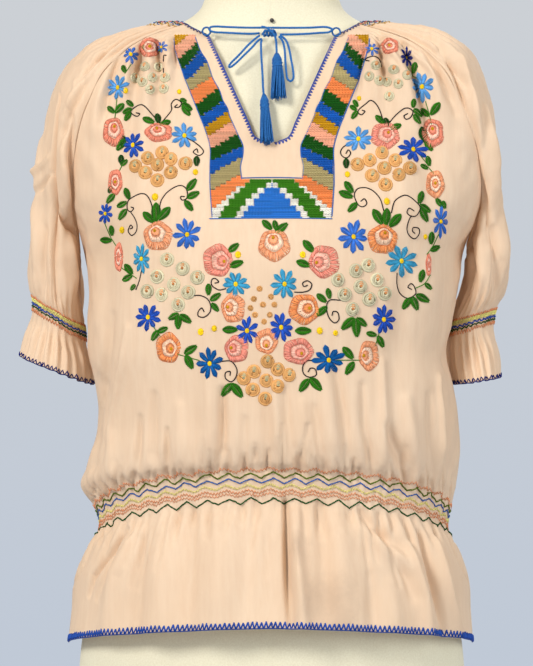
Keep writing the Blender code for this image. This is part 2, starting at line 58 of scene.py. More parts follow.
EYE_DISTANCE = 3.2  # metres from the middle of the form
EYE_HEIGHT = 0.386
EYE_ACROSS = -0.0049
FRAME_HEIGHT = 0.6127  # what the frame takes in there
SENSOR = 36

camera_data = bpy.data.cameras.new("camera")
camera_data.sensor_fit = "VERTICAL"
camera_data.sensor_height = SENSOR
camera_data.lens = SENSOR * EYE_DISTANCE / FRAME_HEIGHT
camera = bpy.data.objects.new("camera", camera_data)
camera.location = (EYE_ACROSS, -EYE_DISTANCE, EYE_HEIGHT)
camera.rotation_euler = (math.pi / 2, 0, 0)
bpy.context.scene.collection.objects.link(camera)
bpy.context.scene.camera = camera
bpy.context.scene.view_settings.view_transform = "Standard"

# ---------------------------------------------------------------- sizes, as in the part

HEM = 102
ARMPIT = 458
CORD = 2.2
SLIT_BOTTOM = 556
SLIT_FOOT_WIDTH = 17
SLIT_FOOT_RISE = 9
SLIT_SLOPE = 0.45
UNDERARM_STEP = 3.4
UNDERARM_REACH = 60
BODY_CLEARANCE = 3.8
SEAM_GAP = 0.4

BODY = table(
    "level left right seam_y back_seam_y back_seam_z front_y front_z back_y back_z spread",
    (667, 78, 78, -42, 54, 677, -78, 640, 80, 678, 54),
    (655, 108, 112, -62, 76, 665, -81, 624, 92, 655, 58),
    (630, 143, 148, -72, 88, 641, -89, 598, 102, 620, 64),
    (592, 166, 170, -72, 92, 602, -98, 566, 110, 580, 70),
    (548, 178, 186, -61, 84, 556, -112, 530, 114, 540, 76),
    (502, 180, 189, -40, 56, 506, -127, 492, 114, 500, 83),
    (458, 172, 175, -5, -5, 458, -138, 452, 110, 460, 90),
    (431, 167, 171, -15, -15, 431, -139, 425, 107, 432, 90),
    (400, 168, 165, -22, -22, 400, -137, 396, 105, 402, 90),
    (366, 167, 159, -26, -26, 366, -134, 366, 103, 368, 90),
    (335, 160, 166, -26, -26, 335, -132, 340, 102, 338, 90),
    (300, 159, 171, -20, -20, 300, -131, 311, 104, 308, 90),
    (262, 170, 171, -12, -12, 262, -129, 285, 109, 282, 90),
    (243, 174, 168, -8, -8, 243, -124, 272, 108, 268, 90),
    (225, 162, 164, -5, -5, 225, -115, 262, 101, 256, 90),
    (202, 159, 162, -4, -4, 202, -112, 234, 99, 230, 90),
    (189, 168, 170, -3, -3, 189, -118, 218, 108, 214, 90),
    (160, 181, 181, -2, -2, 160, -126, 187, 119, 184, 90),
    (130, 184, 183, 0, 0, 130, -131, 156, 126, 152, 90),
    (HEM, 187, 185, 0, 0, HEM, -134, 126, 130, 120, 90),
)
SLEEVE_COLUMNS = "level inner outer outer_y outer_z bulge_front bulge_back wrap"
SLEEVES = {
    "left": table(
        SLEEVE_COLUMNS,
        (667, 78, 104, 5, 669, 47, 49, 92),
        (655, 108, 134, 8, 661, 66, 68, 92),
        (630, 143, 167, 10, 651, 80, 78, 94),
        (592, 166, 195, 12, 622, 84, 80, 98),
        (548, 178, 207, 15, 584, 80, 78, 110),
        (502, 180, 214, 17, 540, 70, 70, 138),
        (458, 172, 219, 18, 498, 62, 64, 180),
        (440, 173, 223, 18, 470, 62, 66, 180),
        (420, 172, 225, 18, 446, 60, 66, 180),
        (400, 171, 224, 18, 428, 56, 60, 180),
        (386, 169, 221, 17, 415, 50, 53, 180),
        (371, 168, 222, 17, 399, 49, 51, 180),
        (356, 164, 227, 17, 383, 56, 59, 180),
        (339, 161, 232, 18, 365, 62, 66, 180),
    ),
    "right": table(
        SLEEVE_COLUMNS,
        (667, 78, 98, 5, 670, 47, 49, 92),
        (655, 112, 136, 8, 666, 66, 68, 92),
        (630, 148, 169, 10, 656, 80, 78, 94),
        (592, 170, 191, 12, 633, 84, 80, 98),
        (548, 186, 203, 15, 591, 80, 78, 110),
        (502, 189, 209, 17, 542, 70, 70, 138),
        (458, 175, 215, 18, 494, 62, 64, 180),
        (441, 174, 220, 18, 470, 62, 66, 180),
        (424, 170, 220, 18, 450, 60, 66, 180),
        (408, 165, 216, 18, 428, 54, 60, 180),
        (394, 160, 206, 18, 407, 47, 52, 180),
        (380, 159, 204, 18, 392, 46, 50, 180),
        (361, 160, 209, 18, 368, 54, 58, 180),
        (339, 163, 212, 18, 346, 62, 66, 180),
    ),
}
FORM = table(
    "z half_width front back",
    (0, 171, 99, 117),
    (45, 177, 102, 120),
    (90, 176, 103, 119),
    (130, 170, 101, 116),
    (170, 158, 97, 108),
    (215, 144, 92, 96),
    (260, 130, 88, 86),
    (300, 125, 86, 80),
    (345, 130, 92, 84),
    (390, 140, 105, 90),
    (430, 149, 114, 95),
    (470, 156, 116, 99),
    (510, 161, 108, 101),
    (545, 164, 97, 102),
    (580, 165, 87, 98),
    (605, 162, 80, 92),
    (622, 155, 74, 86),
    (636, 144, 68, 80),
    (648, 130, 63, 75),
    (658, 112, 59, 70),
    (666, 94, 56, 66),
    (673, 79, 54, 62),
    (681, 68, 53, 58),
    (692, 62, 53, 55),
    (715, 58, 51, 52),
    (752, 55, 49, 49),
)
EYELETS = {"left": (-59.0, -63.6, 658.0), "right": (58.0, -63.6, 657.5)}
EYELET_RADIUS = 3.6
EYELET_WIRE = 0.9
KNOT = (-2.5, -74.0, 655.5)
KNOT_SIZE = (15.0, 7.0, 7.4)
LACE = {
    "lace_cross": (
        (-11.2, -71.6, 655.6), (-20, -70.6, 655.2), (-32, -69.4, 655.8), (-44, -67.4, 656.6),
        (-52.5, -66.2, 657.2), (-56.6, -66.6, 659.6), (-53, -67.2, 662.0), (-40, -67.2, 661.6),
        (-24, -67.8, 661.0), (-4, -68.2, 660.9), (16, -68.0, 660.8), (34, -67.4, 661.0),
        (48, -67.0, 661.6), (54.2, -66.4, 659.6), (51, -66.4, 657.0), (42, -67.6, 656.2),
        (30, -69.4, 655.2), (18, -70.8, 654.6), (7.2, -72.0, 654.4),
    ),
    "bow_loop_left": (
        (-11.0, -76.2, 653.2), (-16, -78.0, 649.4), (-23, -79.6, 642.6), (-30, -81.0, 634.8),
        (-36, -82.0, 628.8), (-38.6, -82.8, 625.0), (-36.4, -83.6, 624.6), (-31, -83.4, 629.0),
        (-24.6, -82.6, 635.4), (-17.6, -80.6, 642.4), (-12.6, -79.0, 648.2), (-9.4, -77.6, 650.2),
    ),
    "bow_loop_right": (
        (6.2, -76.6, 652.4), (9.6, -78.4, 648.0), (11.4, -80.8, 640.0), (12.0, -83.0, 630.0),
        (12.8, -85.0, 620.0), (13.8, -86.4, 613.8), (16.8, -87.0, 611.4), (19.2, -86.4, 614.6),
        (18.8, -84.8, 622.0), (17.2, -82.8, 631.0), (15.6, -80.6, 640.0), (12.8, -77.8, 648.4),
        (7.6, -74.6, 653.6),
    ),
    "tail_left": (
        (-9.2, -80.0, 649.0), (-9.8, -81.0, 645.0), (-9.6, -82.6, 636.0), (-9.0, -84.6, 626.0),
        (-8.4, -86.8, 616.0), (-8.0, -89.0, 606.0), (-7.4, -90.8, 599.6),
    ),
    "tail_right": (
        (-9.4, -79.0, 661.0), (-5.0, -81.0, 659.8), (-1.0, -81.8, 656.6), (2.2, -82.0, 652.6),
        (3.6, -82.2, 648.4), (4.0, -82.6, 643.0), (4.2, -83.2, 637.0),
    ),
}
TASSELS = {
    "tassel_left": ((-7.2, -91.4, 599.0), (-4.5, -108.2, 554.5), 1.0),
    "tassel_right": ((4.3, -83.5, 636.4), (5.8, -91.6, 595.0), 1.15),
}
TASSEL_OUTLINE = table(
    "down radius",
    (0.00, 1.4), (0.05, 2.4), (0.11, 4.0), (0.18, 4.2), (0.25, 3.2),
    (0.32, 4.4), (0.55, 5.4), (0.85, 6.2), (1.00, 6.6),
)


# ---------------------------------------------------------------- reading the tables


def smooth(places, values, at):
    """A smooth curve through the values at their places, which rise."""
    at = np.clip(np.asarray(at, float), places[0], places[-1])
    slopes = np.gradient(values, places)
    i = np.clip(np.searchsorted(places, at, side="right") - 1, 0, len(places) - 2)
    width = places[i + 1] - places[i]
    t = (at - places[i]) / width
    return (
        (1 + 2 * t) * (1 - t) ** 2 * values[i]
        + t * (1 - t) ** 2 * width * slopes[i]
        + t * t * (3 - 2 * t) * values[i + 1]
        - t * t * (1 - t) * width * slopes[i + 1]
    )


def column(rows, name, level):
    """A column at a height, from a table whose level falls from row to row."""
    return smooth(rows["level"][::-1], rows[name][::-1], level)


def body_point(face, side, level, u):
    """Point of the front or back panel: u is 0 at its centre and 1 at its seam."""
    level, u = np.broadcast_arrays(np.asarray(level, float), np.asarray(u, float))
    half_width = column(BODY, side, level)
    raglan = (level > ARMPIT) & (face == "back")
    seam_y = np.where(raglan, column(BODY, "back_seam_y", level), column(BODY, "seam_y", level))
    seam_z = np.where(raglan, column(BODY, "back_seam_z", level), level)
    centre_y = column(BODY, face + "_y", level)
    centre_z = column(BODY, face + "_z", level)
    spread = np.radians(column(BODY, "spread", level))
    across = np.sin(spread * u) / np.sin(spread)
    towards_centre = (np.cos(spread * u) - np.cos(spread)) / (1 - np.cos(spread))
    x = half_width * across * (-1 if side == "left" else 1)
    y = seam_y + (centre_y - seam_y) * towards_centre
    z = centre_z + (seam_z - centre_z) * u**1.5
    return np.stack([x, y, z], axis=-1)


def body_half_width(side, y, level):
    """How far the body reaches sideways at a depth y, below the armpit."""
    seam_y = column(BODY, "seam_y", level)
    depth = np.where(y < seam_y, column(BODY, "front_y", level), column(BODY, "back_y", level))
    part = np.clip((y - seam_y) / (depth - seam_y), 0, 1)
    return column(BODY, side, level) * np.sqrt(1 - part**2)


def sleeve_point(side, level, v):
    """Point of a sleeve: v runs from -1 at the front seam over 0 outside to 1 behind."""
    rows = SLEEVES[side]
    above = max(0.0, level - ARMPIT)
    outer, outer_y, outer_z = (column(rows, name, level) for name in ("outer", "outer_y", "outer_z"))
    if above:
        inner = column(BODY, side, level) + UNDERARM_STEP * max(0, 1 - above / UNDERARM_REACH)
        edge_y = np.where(v < 0, column(BODY, "seam_y", level), column(BODY, "back_seam_y", level))
        edge_z = np.where(v < 0, level, column(BODY, "back_seam_z", level))
    else:
        inner = column(rows, "inner", level) + UNDERARM_STEP
        near = max(0, 1 - (ARMPIT - level) / UNDERARM_REACH)
        edge_y = outer_y + (column(BODY, "seam_y", ARMPIT) - outer_y) * near
        edge_z = level
    wrap = math.radians(float(column(rows, "wrap", level)))
    progress = (1 - np.cos(wrap * v)) / (1 - math.cos(wrap))
    x = outer + (inner - outer) * progress
    bulge = np.where(v < 0, column(rows, "bulge_front", level), column(rows, "bulge_back", level))
    arc_end = outer_y + bulge * math.sin(wrap) * np.sign(v)
    y = outer_y + bulge * np.sin(wrap * v) + (edge_y - arc_end) * np.abs(v) ** 4
    z = outer_z + (edge_z - outer_z) * progress
    if not above:
        x = np.maximum(x, body_half_width(side, y, np.clip(z, HEM, ARMPIT)) + BODY_CLEARANCE)
    return np.stack([x * (-1 if side == "left" else 1), y, z], axis=-1)


def slit_half_width(z):
    """Half-width of the neck slit: straight edges on a rounded foot."""
    rise = np.maximum(z - SLIT_BOTTOM, 0)
    foot = SLIT_FOOT_WIDTH * np.sqrt(np.clip(1 - (1 - rise / SLIT_FOOT_RISE) ** 2, 0, 1))
    straight = SLIT_FOOT_WIDTH + SLIT_SLOPE * (rise - SLIT_FOOT_RISE)
    return np.where(rise < SLIT_FOOT_RISE, foot, straight)


def slit_edge(side, level):
    """Where the slit's edge lies on a section, as u."""
    low, high = 0.0, 1.0
    for _ in range(40):
        u = (low + high) / 2
        x, _, z = body_point("front", side, level, u)
        low, high = (low, u) if abs(x) > slit_half_width(z) else (u, high)
    return high


SLIT_FOOT_LEVEL = float(smooth(BODY["front_z"][::-1], BODY["level"][::-1], SLIT_BOTTOM))


# ---------------------------------------------------------------- folds

# Creases and ridges, each (height, width, path of (x, z) as seen from the front). A minus
# height is a crease.
FRONT_FOLDS = (
    # pleats from the gathered neck, left
    (-7, 3.0, (-118, 646), (-119, 632), (-123, 614)),
    (5, 5, (-126, 643), (-129, 615), (-132, 590)),
    (5, 6, (-110, 648), (-110, 622), (-113, 590)),
    (-6, 2.8, (-103, 650), (-102, 634), (-100, 620)),
    (4, 5, (-95, 650), (-94, 628), (-94, 600)),
    (-5, 2.4, (-88, 652), (-87, 640), (-85, 626)),
    (-3, 7, (-123, 614), (-127, 580), (-132, 520)),
    (-2.2, 8, (-100, 620), (-102, 570), (-104, 520)),
    (2.4, 9, (-112, 585), (-116, 520), (-120, 460)),
    (-4, 3, (-138, 636), (-147, 606), (-152, 575)),
    (3, 6, (-148, 628), (-156, 590), (-160, 550)),
    # and right
    (-6.5, 3.0, (97, 654), (98.5, 636), (101, 619), (104, 610)),
    (4, 5, (90, 650), (91, 630), (93, 600)),
    (-5, 2.4, (83, 640), (78, 616), (75.5, 592)),
    (5, 7, (106, 648), (109, 622), (113, 590)),
    (-7, 3.2, (117, 650), (124, 630), (130, 610), (134, 590), (138, 570)),
    (4.5, 6, (112, 638), (119, 618), (124, 596), (128, 570)),
    (-5, 4, (122, 656), (134, 645), (146, 628), (157, 608), (166, 585)),
    (4, 5, (134, 640), (145, 616), (151, 590)),
    (-2.4, 9, (138, 570), (142, 530), (142, 490)),
    (2.2, 9, (113, 590), (116, 530), (118, 480)),
    (-1.6, 9, (104, 610), (106, 570), (108, 530)),
    # middle of the body
    (-2.4, 12, (-150, 470), (-148, 420), (-150, 380)),
    (1.6, 16, (-60, 440), (-62, 380), (-64, 330)),
    (-1.2, 14, (30, 430), (34, 380), (36, 330)),
    (2.2, 14, (140, 470), (143, 420), (140, 370)),
    (-2.2, 12, (118, 430), (112, 380), (108, 330)),
    # down to the waist band
    (-5.5, 3.6, (-44, 336), (-43.6, 304), (-45, 282), (-52, 264)),
    (3.5, 7, (-56, 350), (-55, 300), (-60, 270)),
    (-4, 3.0, (-93.6, 300), (-94.6, 258)),
    (-3.2, 5, (-105, 330), (-106, 280), (-99, 258)),
    (2.6, 6, (-82, 320), (-82, 264)),
    (4, 5, (-129, 390), (-138, 335), (-144, 300), (-147, 262)),
    (-4, 8, (-146, 400), (-153, 335), (-160, 285)),
    (-3.5, 4, (-118, 310), (-122, 256)),
    (-4, 5, (56.6, 360), (63.4, 316), (68, 280), (75, 258)),
    (2.8, 7, (47, 350), (52, 305), (58, 268)),
    (-3.2, 4, (80, 340), (82, 305), (86, 288), (92, 257)),
    (3.4, 5, (98.6, 360), (99.5, 305), (99, 258)),
    (-5.5, 7, (104, 302), (112, 284), (121, 262)),
    (4, 8, (120, 325), (125, 292), (131, 262)),
    (3.4, 4, (150, 345), (153, 295), (154, 255)),
    (-3, 5, (141, 330), (144, 262)),
    (2.6, 4, (2, 338), (5, 296), (8, 267)),
    (-2.6, 4, (-6, 330), (-4, 288), (0, 266)),
    (-2.8, 4, (12, 338), (16, 290), (23, 264)),
    (2.4, 4, (27, 325), (33, 266)),
    (-2.6, 4, (38, 320), (46, 262)),
    (-2.2, 4, (-24, 310), (-26, 266)),
    # the short skirt
    (-10, 3.2, (12, 236), (13, 205), (15, 165), (17, 130)),
    (7, 6, (20, 226), (23, 170), (28, 112)),
    (-2.5, 10, (1, 210), (-1, 160), (-2, 128)),
    (-6, 2.6, (-130, 210), (-150, 184), (-162, 166), (-166, 150)),
    (4, 7, (-122, 208), (-142, 170), (-150, 120)),
    (-4.5, 4.5, (80, 226), (100, 206), (119, 192)),
    (3, 6, (82, 212), (104, 190), (122, 178)),
    (-3.6, 4, (107, 192), (121, 167), (126, 150)),
    (-7.5, 3.8, (134, 206), (147, 160), (156, 116)),
    (5, 6, (124, 196), (136, 150), (142, 110)),
    (5, 6, (148, 198), (160, 150), (170, 116)),
    (4, 11, (-95, 222), (-100, 165), (-104, 110)),
    (-4, 8, (-72, 225), (-74, 165), (-77, 110)),
    (3.6, 11, (-45, 228), (-48, 165), (-50, 112)),
    (-3, 8, (-22, 230), (-23, 170), (-25, 116)),
    (3.6, 11, (58, 224), (64, 165), (70, 110)),
    (-3.6, 8, (44, 228), (47, 180), (48, 116)),
    (-3.4, 7, (88, 170), (93, 112)),
    (3, 9, (106, 160), (112, 112)),
    (-3.4, 7, (-116, 200), (-124, 110)),
)
BACK_FOLDS = (
    (-5, 5, (-70, 655), (-84, 600), (-92, 530)),
    (4, 8, (-50, 660), (-58, 600), (-62, 520)),
    (-5, 4, (-28, 662), (-32, 610), (-34, 540)),
    (3.6, 7, (-12, 662), (-12, 600), (-10, 520)),
    (-5, 4, (8, 662), (10, 610), (12, 530)),
    (4, 8, (30, 662), (36, 600), (40, 520)),
    (-5, 5, (52, 660), (62, 600), (70, 520)),
    (4, 8, (80, 650), (98, 600), (108, 530)),
    (-4.5, 5, (108, 640), (126, 590), (134, 540)),
    (-4.5, 5, (-108, 640), (-122, 590), (-130, 540)),
    (-3, 12, (-86, 500), (-84, 400), (-80, 330)),
    (2.6, 14, (-40, 480), (-38, 390), (-36, 300)),
    (-3, 12, (20, 470), (16, 380), (12, 300)),
    (3, 14, (72, 480), (70, 380), (66, 300)),
    (-3.4, 11, (112, 470), (112, 380), (106, 300)),
    (-5, 4, (-112, 320), (-108, 264)),
    (-5, 4, (-60, 330), (-56, 268)),
    (-4.6, 4, (-14, 325), (-16, 268)),
    (-5, 4, (38, 330), (44, 268)),
    (-4.6, 4, (86, 320), (92, 266)),
    (-4, 4, (132, 310), (136, 262)),
    (-8, 4, (-98, 228), (-108, 170), (-114, 106)),
    (5, 8, (-84, 226), (-90, 170), (-96, 106)),
    (-7, 4, (-44, 232), (-48, 170), (-52, 108)),
    (5, 8, (-20, 232), (-22, 170), (-24, 108)),
    (-7.5, 4, (14, 234), (16, 170), (20, 108)),
    (5, 8, (38, 232), (44, 170), (50, 108)),
    (-7, 4, (66, 230), (76, 170), (84, 106)),
    (5, 7, (92, 226), (104, 170), (112, 106)),
    (-6.5, 4, (118, 222), (132, 170), (140, 106)),
    (-6, 5, (-136, 215), (-150, 165), (-156, 110)),
)


def short_creases(seed, count, middle, side):
    """Thin creases where the stitched waist band gathers the cloth, above and below it."""
    draw = random.Random(seed)
    found = []
    for k in range(count):
        x = -166 + 332 * (k + draw.uniform(0.1, 0.9)) / count
        part = min(1, abs(x) / 170)
        top = middle - (middle - side) * part**1.6
        length = draw.choice((9, 12, 16, 24, 36)) * draw.uniform(0.8, 1.2)
        lean = draw.uniform(-0.22, 0.22)
        found.append((
            -draw.uniform(1.4, 2.8), draw.uniform(1.5, 2.4),
            (x, top - 4), (x + lean * length * 0.5, top + length * 0.5),
            (x + lean * length, top + length),
        ))
        x += draw.uniform(-3, 3)
        length = draw.choice((10, 16, 24, 40, 60)) * draw.uniform(0.8, 1.2)
        fan = x / 170 * 0.5 + draw.uniform(-0.08, 0.08)
        foot = top - 33 + 4 * part
        found.append((
            -draw.uniform(1.2, 2.6), draw.uniform(1.6, 3.0),
            (x, foot + 3), (x + fan * length * 0.5, foot - length * 0.5),
            (x + fan * length, foot - length),
        ))
    return tuple(found)


FRONT_FOLDS += short_creases(41, 44, 268, 230)
BACK_FOLDS += short_creases(43, 40, 258, 230)
SLEEVE_FOLDS = {
    "left": (
        (-6, 4.5, (-193, 600), (-197, 560), (-199, 530), (-197, 492), (-196, 450), (-194, 418)),
        (-6, 4.5, (-196, 500), (-184, 484), (-170, 468)),
        (5, 8, (-209, 560), (-213, 500), (-214, 440)),
        (-4.5, 5, (-206, 480), (-209, 450), (-209, 424)),
        (4.5, 7, (-188, 560), (-187, 520), (-184, 500)),
        (-4.5, 5, (-180, 580), (-181, 540), (-178, 510)),
        (5, 7, (-184, 470), (-182, 440), (-182, 420)),
        (-4, 5, (-174, 450), (-176, 420)),
        (-4, 4, (-168, 610), (-182, 585), (-190, 560)),
        (4, 6, (-160, 628), (-176, 606), (-188, 580)),
        (-4, 4, (-150, 640), (-166, 622), (-178, 604)),
        (-3.6, 4, (-202, 530), (-213, 512)),
        (3.6, 5, (-203, 545), (-214, 528)),
    ),
    "right": (
        (-5, 4.5, (160, 630), (170, 600), (179, 561)),
        (4.5, 7, (168, 634), (180, 600), (188, 562)),
        (-5.5, 5, (180, 566), (188, 530), (193, 500), (196, 470)),
        (5, 8, (192, 590), (200, 540), (204, 490)),
        (5, 9, (206, 500), (211, 466), (212, 440)),
        (-5, 5, (200, 480), (205, 450), (204, 424)),
        (4.5, 6, (190, 470), (192, 440), (190, 420)),
        (-4.5, 5, (180, 480), (182, 446), (178, 424)),
        (-4, 4, (150, 640), (164, 624), (176, 606)),
        (3.6, 6, (142, 652), (160, 640), (174, 624)),
        (-4, 4, (203, 540), (209, 520), (210, 500)),
        (-3.6, 4, (170, 500), (180, 470)),
    ),
}


def crumple(place, size, seed=0.0):
    """Smooth noise at each of the places, from about -1 to 1, with hills of these sizes."""
    flat = (place / np.array(size, float)).reshape(-1, 3)
    values = [noise.noise(Vector((x, y, z + seed))) for x, y, z in flat]
    return np.array(values).reshape(place.shape[:-1])


FOLD_STRENGTH = 1.45


def fold_heights(rows, x, z, stretch):
    """Height of the creases and ridges at each place. stretch is how much longer the
    cloth is there than it looks from the front."""
    total = np.zeros(x.shape)
    for height, width, *path in rows:
        nearest = np.full(x.shape, 1e9)
        along = np.zeros(x.shape)
        path = np.array(path, float)
        run = np.concatenate([[0], np.cumsum(np.linalg.norm(np.diff(path, axis=0), axis=1))])
        for (ax, az), (bx, bz), before in zip(path, path[1:], run):
            length2 = (bx - ax) ** 2 + (bz - az) ** 2
            t = np.clip(((x - ax) * (bx - ax) + (z - az) * (bz - az)) / length2, 0, 1)
            across = (x - ax - t * (bx - ax)) * stretch
            distance = np.hypot(across, z - az - t * (bz - az))
            closer = distance < nearest
            nearest = np.where(closer, distance, nearest)
            along = np.where(closer, before + t * math.sqrt(length2), along)
        part = along / run[-1]
        # deepest near the middle, and wider towards the far end
        fade = 0.35 + 0.65 * np.sin(math.pi * np.clip(part * 0.9 + 0.08, 0, 1))
        spread = width * (0.8 + 0.5 * part)
        total += FOLD_STRENGTH * height * fade * np.exp(-((nearest / spread) ** 2))
    return total


def ripples(around, seed, count):
    """An uneven row of soft pleats, from about -1 to 1, as a function of one number."""
    draw = random.Random(seed)
    total = 0
    for k in range(3):
        turns = count * draw.uniform(0.72, 1.3)
        total = total + math.sin(k + 1) ** 2 * np.sin(2 * math.pi * turns * around + draw.uniform(0, 6.3))
    return np.tanh(total)


def bump_at(z, middle, above, below):
    """1 at the middle height, fading to 0 over these distances above and below."""
    rise = np.where(z > middle, (z - middle) / above, (middle - z) / below)
    return np.exp(-(rise**2))


# ---------------------------------------------------------------- cloth panels


class Panel:
    """A grid of points on the cloth. Rows run down it, and columns across, from the
    viewer's left on the front and so on round the garment."""

    def __init__(self, grid, seam=None):
        self.grid = grid
        self.seam = seam
        along = np.gradient(grid, axis=1)
        down = np.gradient(grid, axis=0)
        if seam:
            top, middle = seam
            for half in (slice(0, middle), slice(middle, None)):
                along[:top, half] = np.gradient(grid[:top, half], axis=1)
        normal = np.cross(down, along)
        self.normals = normal / np.maximum(np.linalg.norm(normal, axis=-1, keepdims=True), 1e-9)
        steps = np.linalg.norm(np.diff(grid, axis=0), axis=-1)
        self.depth = np.concatenate([np.zeros((1, grid.shape[1])), np.cumsum(steps, axis=0)])

    def at(self, row, col):
        """Points and normals at fractions of rows and columns."""
        row = np.clip(np.asarray(row, float), 0, self.grid.shape[0] - 1.001)
        col = np.clip(np.asarray(col, float), 0, self.grid.shape[1] - 1.001)
        i, j = row.astype(int), col.astype(int)
        a, b = (row - i)[..., None], (col - j)[..., None]
        found = []
        for values in (self.grid, self.normals):
            upper = values[i, j] * (1 - b) + values[i, j + 1] * b
            lower = values[i + 1, j] * (1 - b) + values[i + 1, j + 1] * b
            found.append(upper * (1 - a) + lower * a)
        return found[0], found[1]

    def below_top(self, col, distance):
        """The row at a distance in mm down the cloth from its top edge."""
        return self._row(col, distance)

    def _row(self, col, depth):
        col, depth = np.broadcast_arrays(np.asarray(col, float), np.asarray(depth, float))
        nearest = np.clip(np.round(col).astype(int), 0, self.grid.shape[1] - 1)
        rows = np.arange(self.grid.shape[0])
        found = [np.interp(d, self.depth[:, j], rows) for d, j in zip(depth.flat, nearest.flat)]
        return np.array(found).reshape(col.shape)


def moved_out(grid, heights):
    panel = Panel(grid)
    return grid + panel.normals * heights[..., None]


def levels_between(*stops):
    """Heights from stop to stop: each stop is (height, spacing down to the next)."""
    found = []
    for (top, spacing), (foot, _) in zip(stops, stops[1:]):
        count = max(1, round((top - foot) / spacing))
        found.extend(np.linspace(top, foot, count, endpoint=False))
    return np.array(found + [stops[-1][0]])


NECK = 667
BODY_LEVELS = levels_between(
    (NECK, 1.6), (600, 2.2), (SLIT_FOOT_LEVEL + 6, 1.0), (SLIT_FOOT_LEVEL + 1, 0.4),
    (SLIT_FOOT_LEVEL, 1.8), (520, 2.4), (300, 1.7), (HEM, 1),
)
HALF_COLUMNS = 122
BACK_COLUMN_COUNT = 170
EDGE_FADE = 0.10


def edge_fade(around):
    """Folds die away at a panel's seams, so that the panels still meet."""
    return np.clip((1 - np.abs(around)) / EDGE_FADE, 0, 1) ** 0.5


def looks_stretched(grid):
    """How much longer the cloth is along its rows than it looks from the front."""
    along = np.gradient(grid, axis=1)
    return np.clip(np.linalg.norm(along, axis=-1) / np.maximum(np.abs(along[..., 0]), 1e-6), 1, 4)


def body_details(grid, around, face):
    """Small gathers at the waist band, flutes of the skirt and the crumple of crepe."""
    x, z = grid[..., 0], grid[..., 2]
    centre_rise = 34 * (1 - np.abs(around) ** 1.5)
    band_top = 229 + centre_rise
    band_foot = 203 + 30 * (1 - np.abs(around) ** 1.5)
    seed = 3 if face == "front" else 8
    inside = np.clip((band_top - z) / 4, 0, 1) * np.clip((z - band_foot) / 4, 0, 1)
    heights = 0.55 * inside * ripples(around, seed, 34)
    heights += 1.5 * bump_at(z, band_top + 3, 15, 5) * ripples(around, seed + 1, 17)
    heights += 1.6 * bump_at(z, band_foot - 4, 5, 18) * ripples(around + 0.0002 * z, seed + 2, 15)
    heights += 2.0 * bump_at(z, HEM, 1, 70) * ripples(around, seed + 3, 6)
    heights += 0.9 * crumple(grid, (26, 26, 60), seed)
    heights += 0.35 * crumple(grid, (9, 9, 20), seed)
    beside = np.clip((np.abs(around) - 0.6) / 0.2, 0, 1) * (z > band_top)
    heights += 2.2 * beside * crumple(grid, (15, 15, 19), seed + 5)
    return heights


def neck_pleats(around, depth, seed, count, strength):
    """Pleats that start at the gathered neck edge and open out as they run down."""
    start = np.exp(-(((depth - 16) / 26) ** 2))
    return strength * start * ripples(around, seed, count)


def front_grid():
    around = np.linspace(0, 1, HALF_COLUMNS + 1)
    halves = []
    for side in ("left", "right"):
        start = np.array([
            slit_edge(side, level) if level > SLIT_FOOT_LEVEL else 0.0 for level in BODY_LEVELS
        ])[:, None]
        u = start + (1 - start) * around[None]
        grid = body_point("front", side, BODY_LEVELS[:, None], u)
        halves.append(grid[:, ::-1] if side == "left" else grid)
    return np.concatenate([halves[0], halves[1]], axis=1)


def seam_setback(levels):
    near = np.exp(-(((levels - ARMPIT) / 55) ** 2)) * (levels > ARMPIT)
    return SEAM_GAP / 2 + 1.4 * near


def pulled_back(grid, setback):
    """Moves the first and last column in from the seams, along the rows."""
    grid = grid.copy()
    for edge, inward in ((0, 3), (-1, -4)):
        run = grid[:, inward] - grid[:, edge]
        length = np.linalg.norm(run, axis=-1, keepdims=True)
        grid[:, edge] += run / length * setback[:, None]
    return grid


def front_panel():
    grid = pulled_back(front_grid(), seam_setback(BODY_LEVELS))
    half = np.linspace(0, 1, HALF_COLUMNS + 1)
    around = np.concatenate([-half[::-1], half])[None] + 0 * grid[..., 0]
    x, z = grid[..., 0], grid[..., 2]
    foot_row = int(np.argmax(BODY_LEVELS <= SLIT_FOOT_LEVEL))
    heights = fold_heights(FRONT_FOLDS, x, z, looks_stretched(grid))
    heights += body_details(grid, around, "front")
    # gathered from the stitched band's outer edge to the sleeve, and flat inside it
    beside_band = np.clip((np.abs(x) - 86) / 12, 0, 1)
    heights += beside_band * neck_pleats(around, NECK - BODY_LEVELS[:, None], 5, 9, 1.6)
    quiet = np.clip((np.abs(x) - 66) / 20, 0.15, 1)
    heights *= np.where(z > 480, quiet, 1)
    heights *= edge_fade(around)
    plain = Panel(grid, (foot_row, HALF_COLUMNS + 1))
    grid = grid + plain.normals * heights[..., None]
    return Panel(grid, (foot_row, HALF_COLUMNS + 1))


def back_panel():
    u = np.linspace(-1, 1, BACK_COLUMN_COUNT + 1)[None]
    right = body_point("back", "right", BODY_LEVELS[:, None], np.abs(u))
    left = body_point("back", "left", BODY_LEVELS[:, None], np.abs(u))
    grid = np.where((u < 0)[..., None], right, left)
    grid = pulled_back(grid, seam_setback(BODY_LEVELS))
    around = u + 0 * grid[..., 0]
    x, z = grid[..., 0], grid[..., 2]
    heights = fold_heights(BACK_FOLDS, x, z, looks_stretched(grid))
    heights += body_details(grid, around, "back")
    heights += neck_pleats(around, NECK - BODY_LEVELS[:, None], 6, 13, 2.0)
    heights *= edge_fade(around)
    return Panel(moved_out(grid, heights))


SLEEVE_LEVELS = levels_between((NECK, 1.2), (630, 1.9), (ARMPIT, 1.7), (400, 1.1), (339, 1))
SLEEVE_COLUMN_COUNT = 168
CUFF = {"left": 386, "right": 391}  # level of the middle of the gathered cuff band


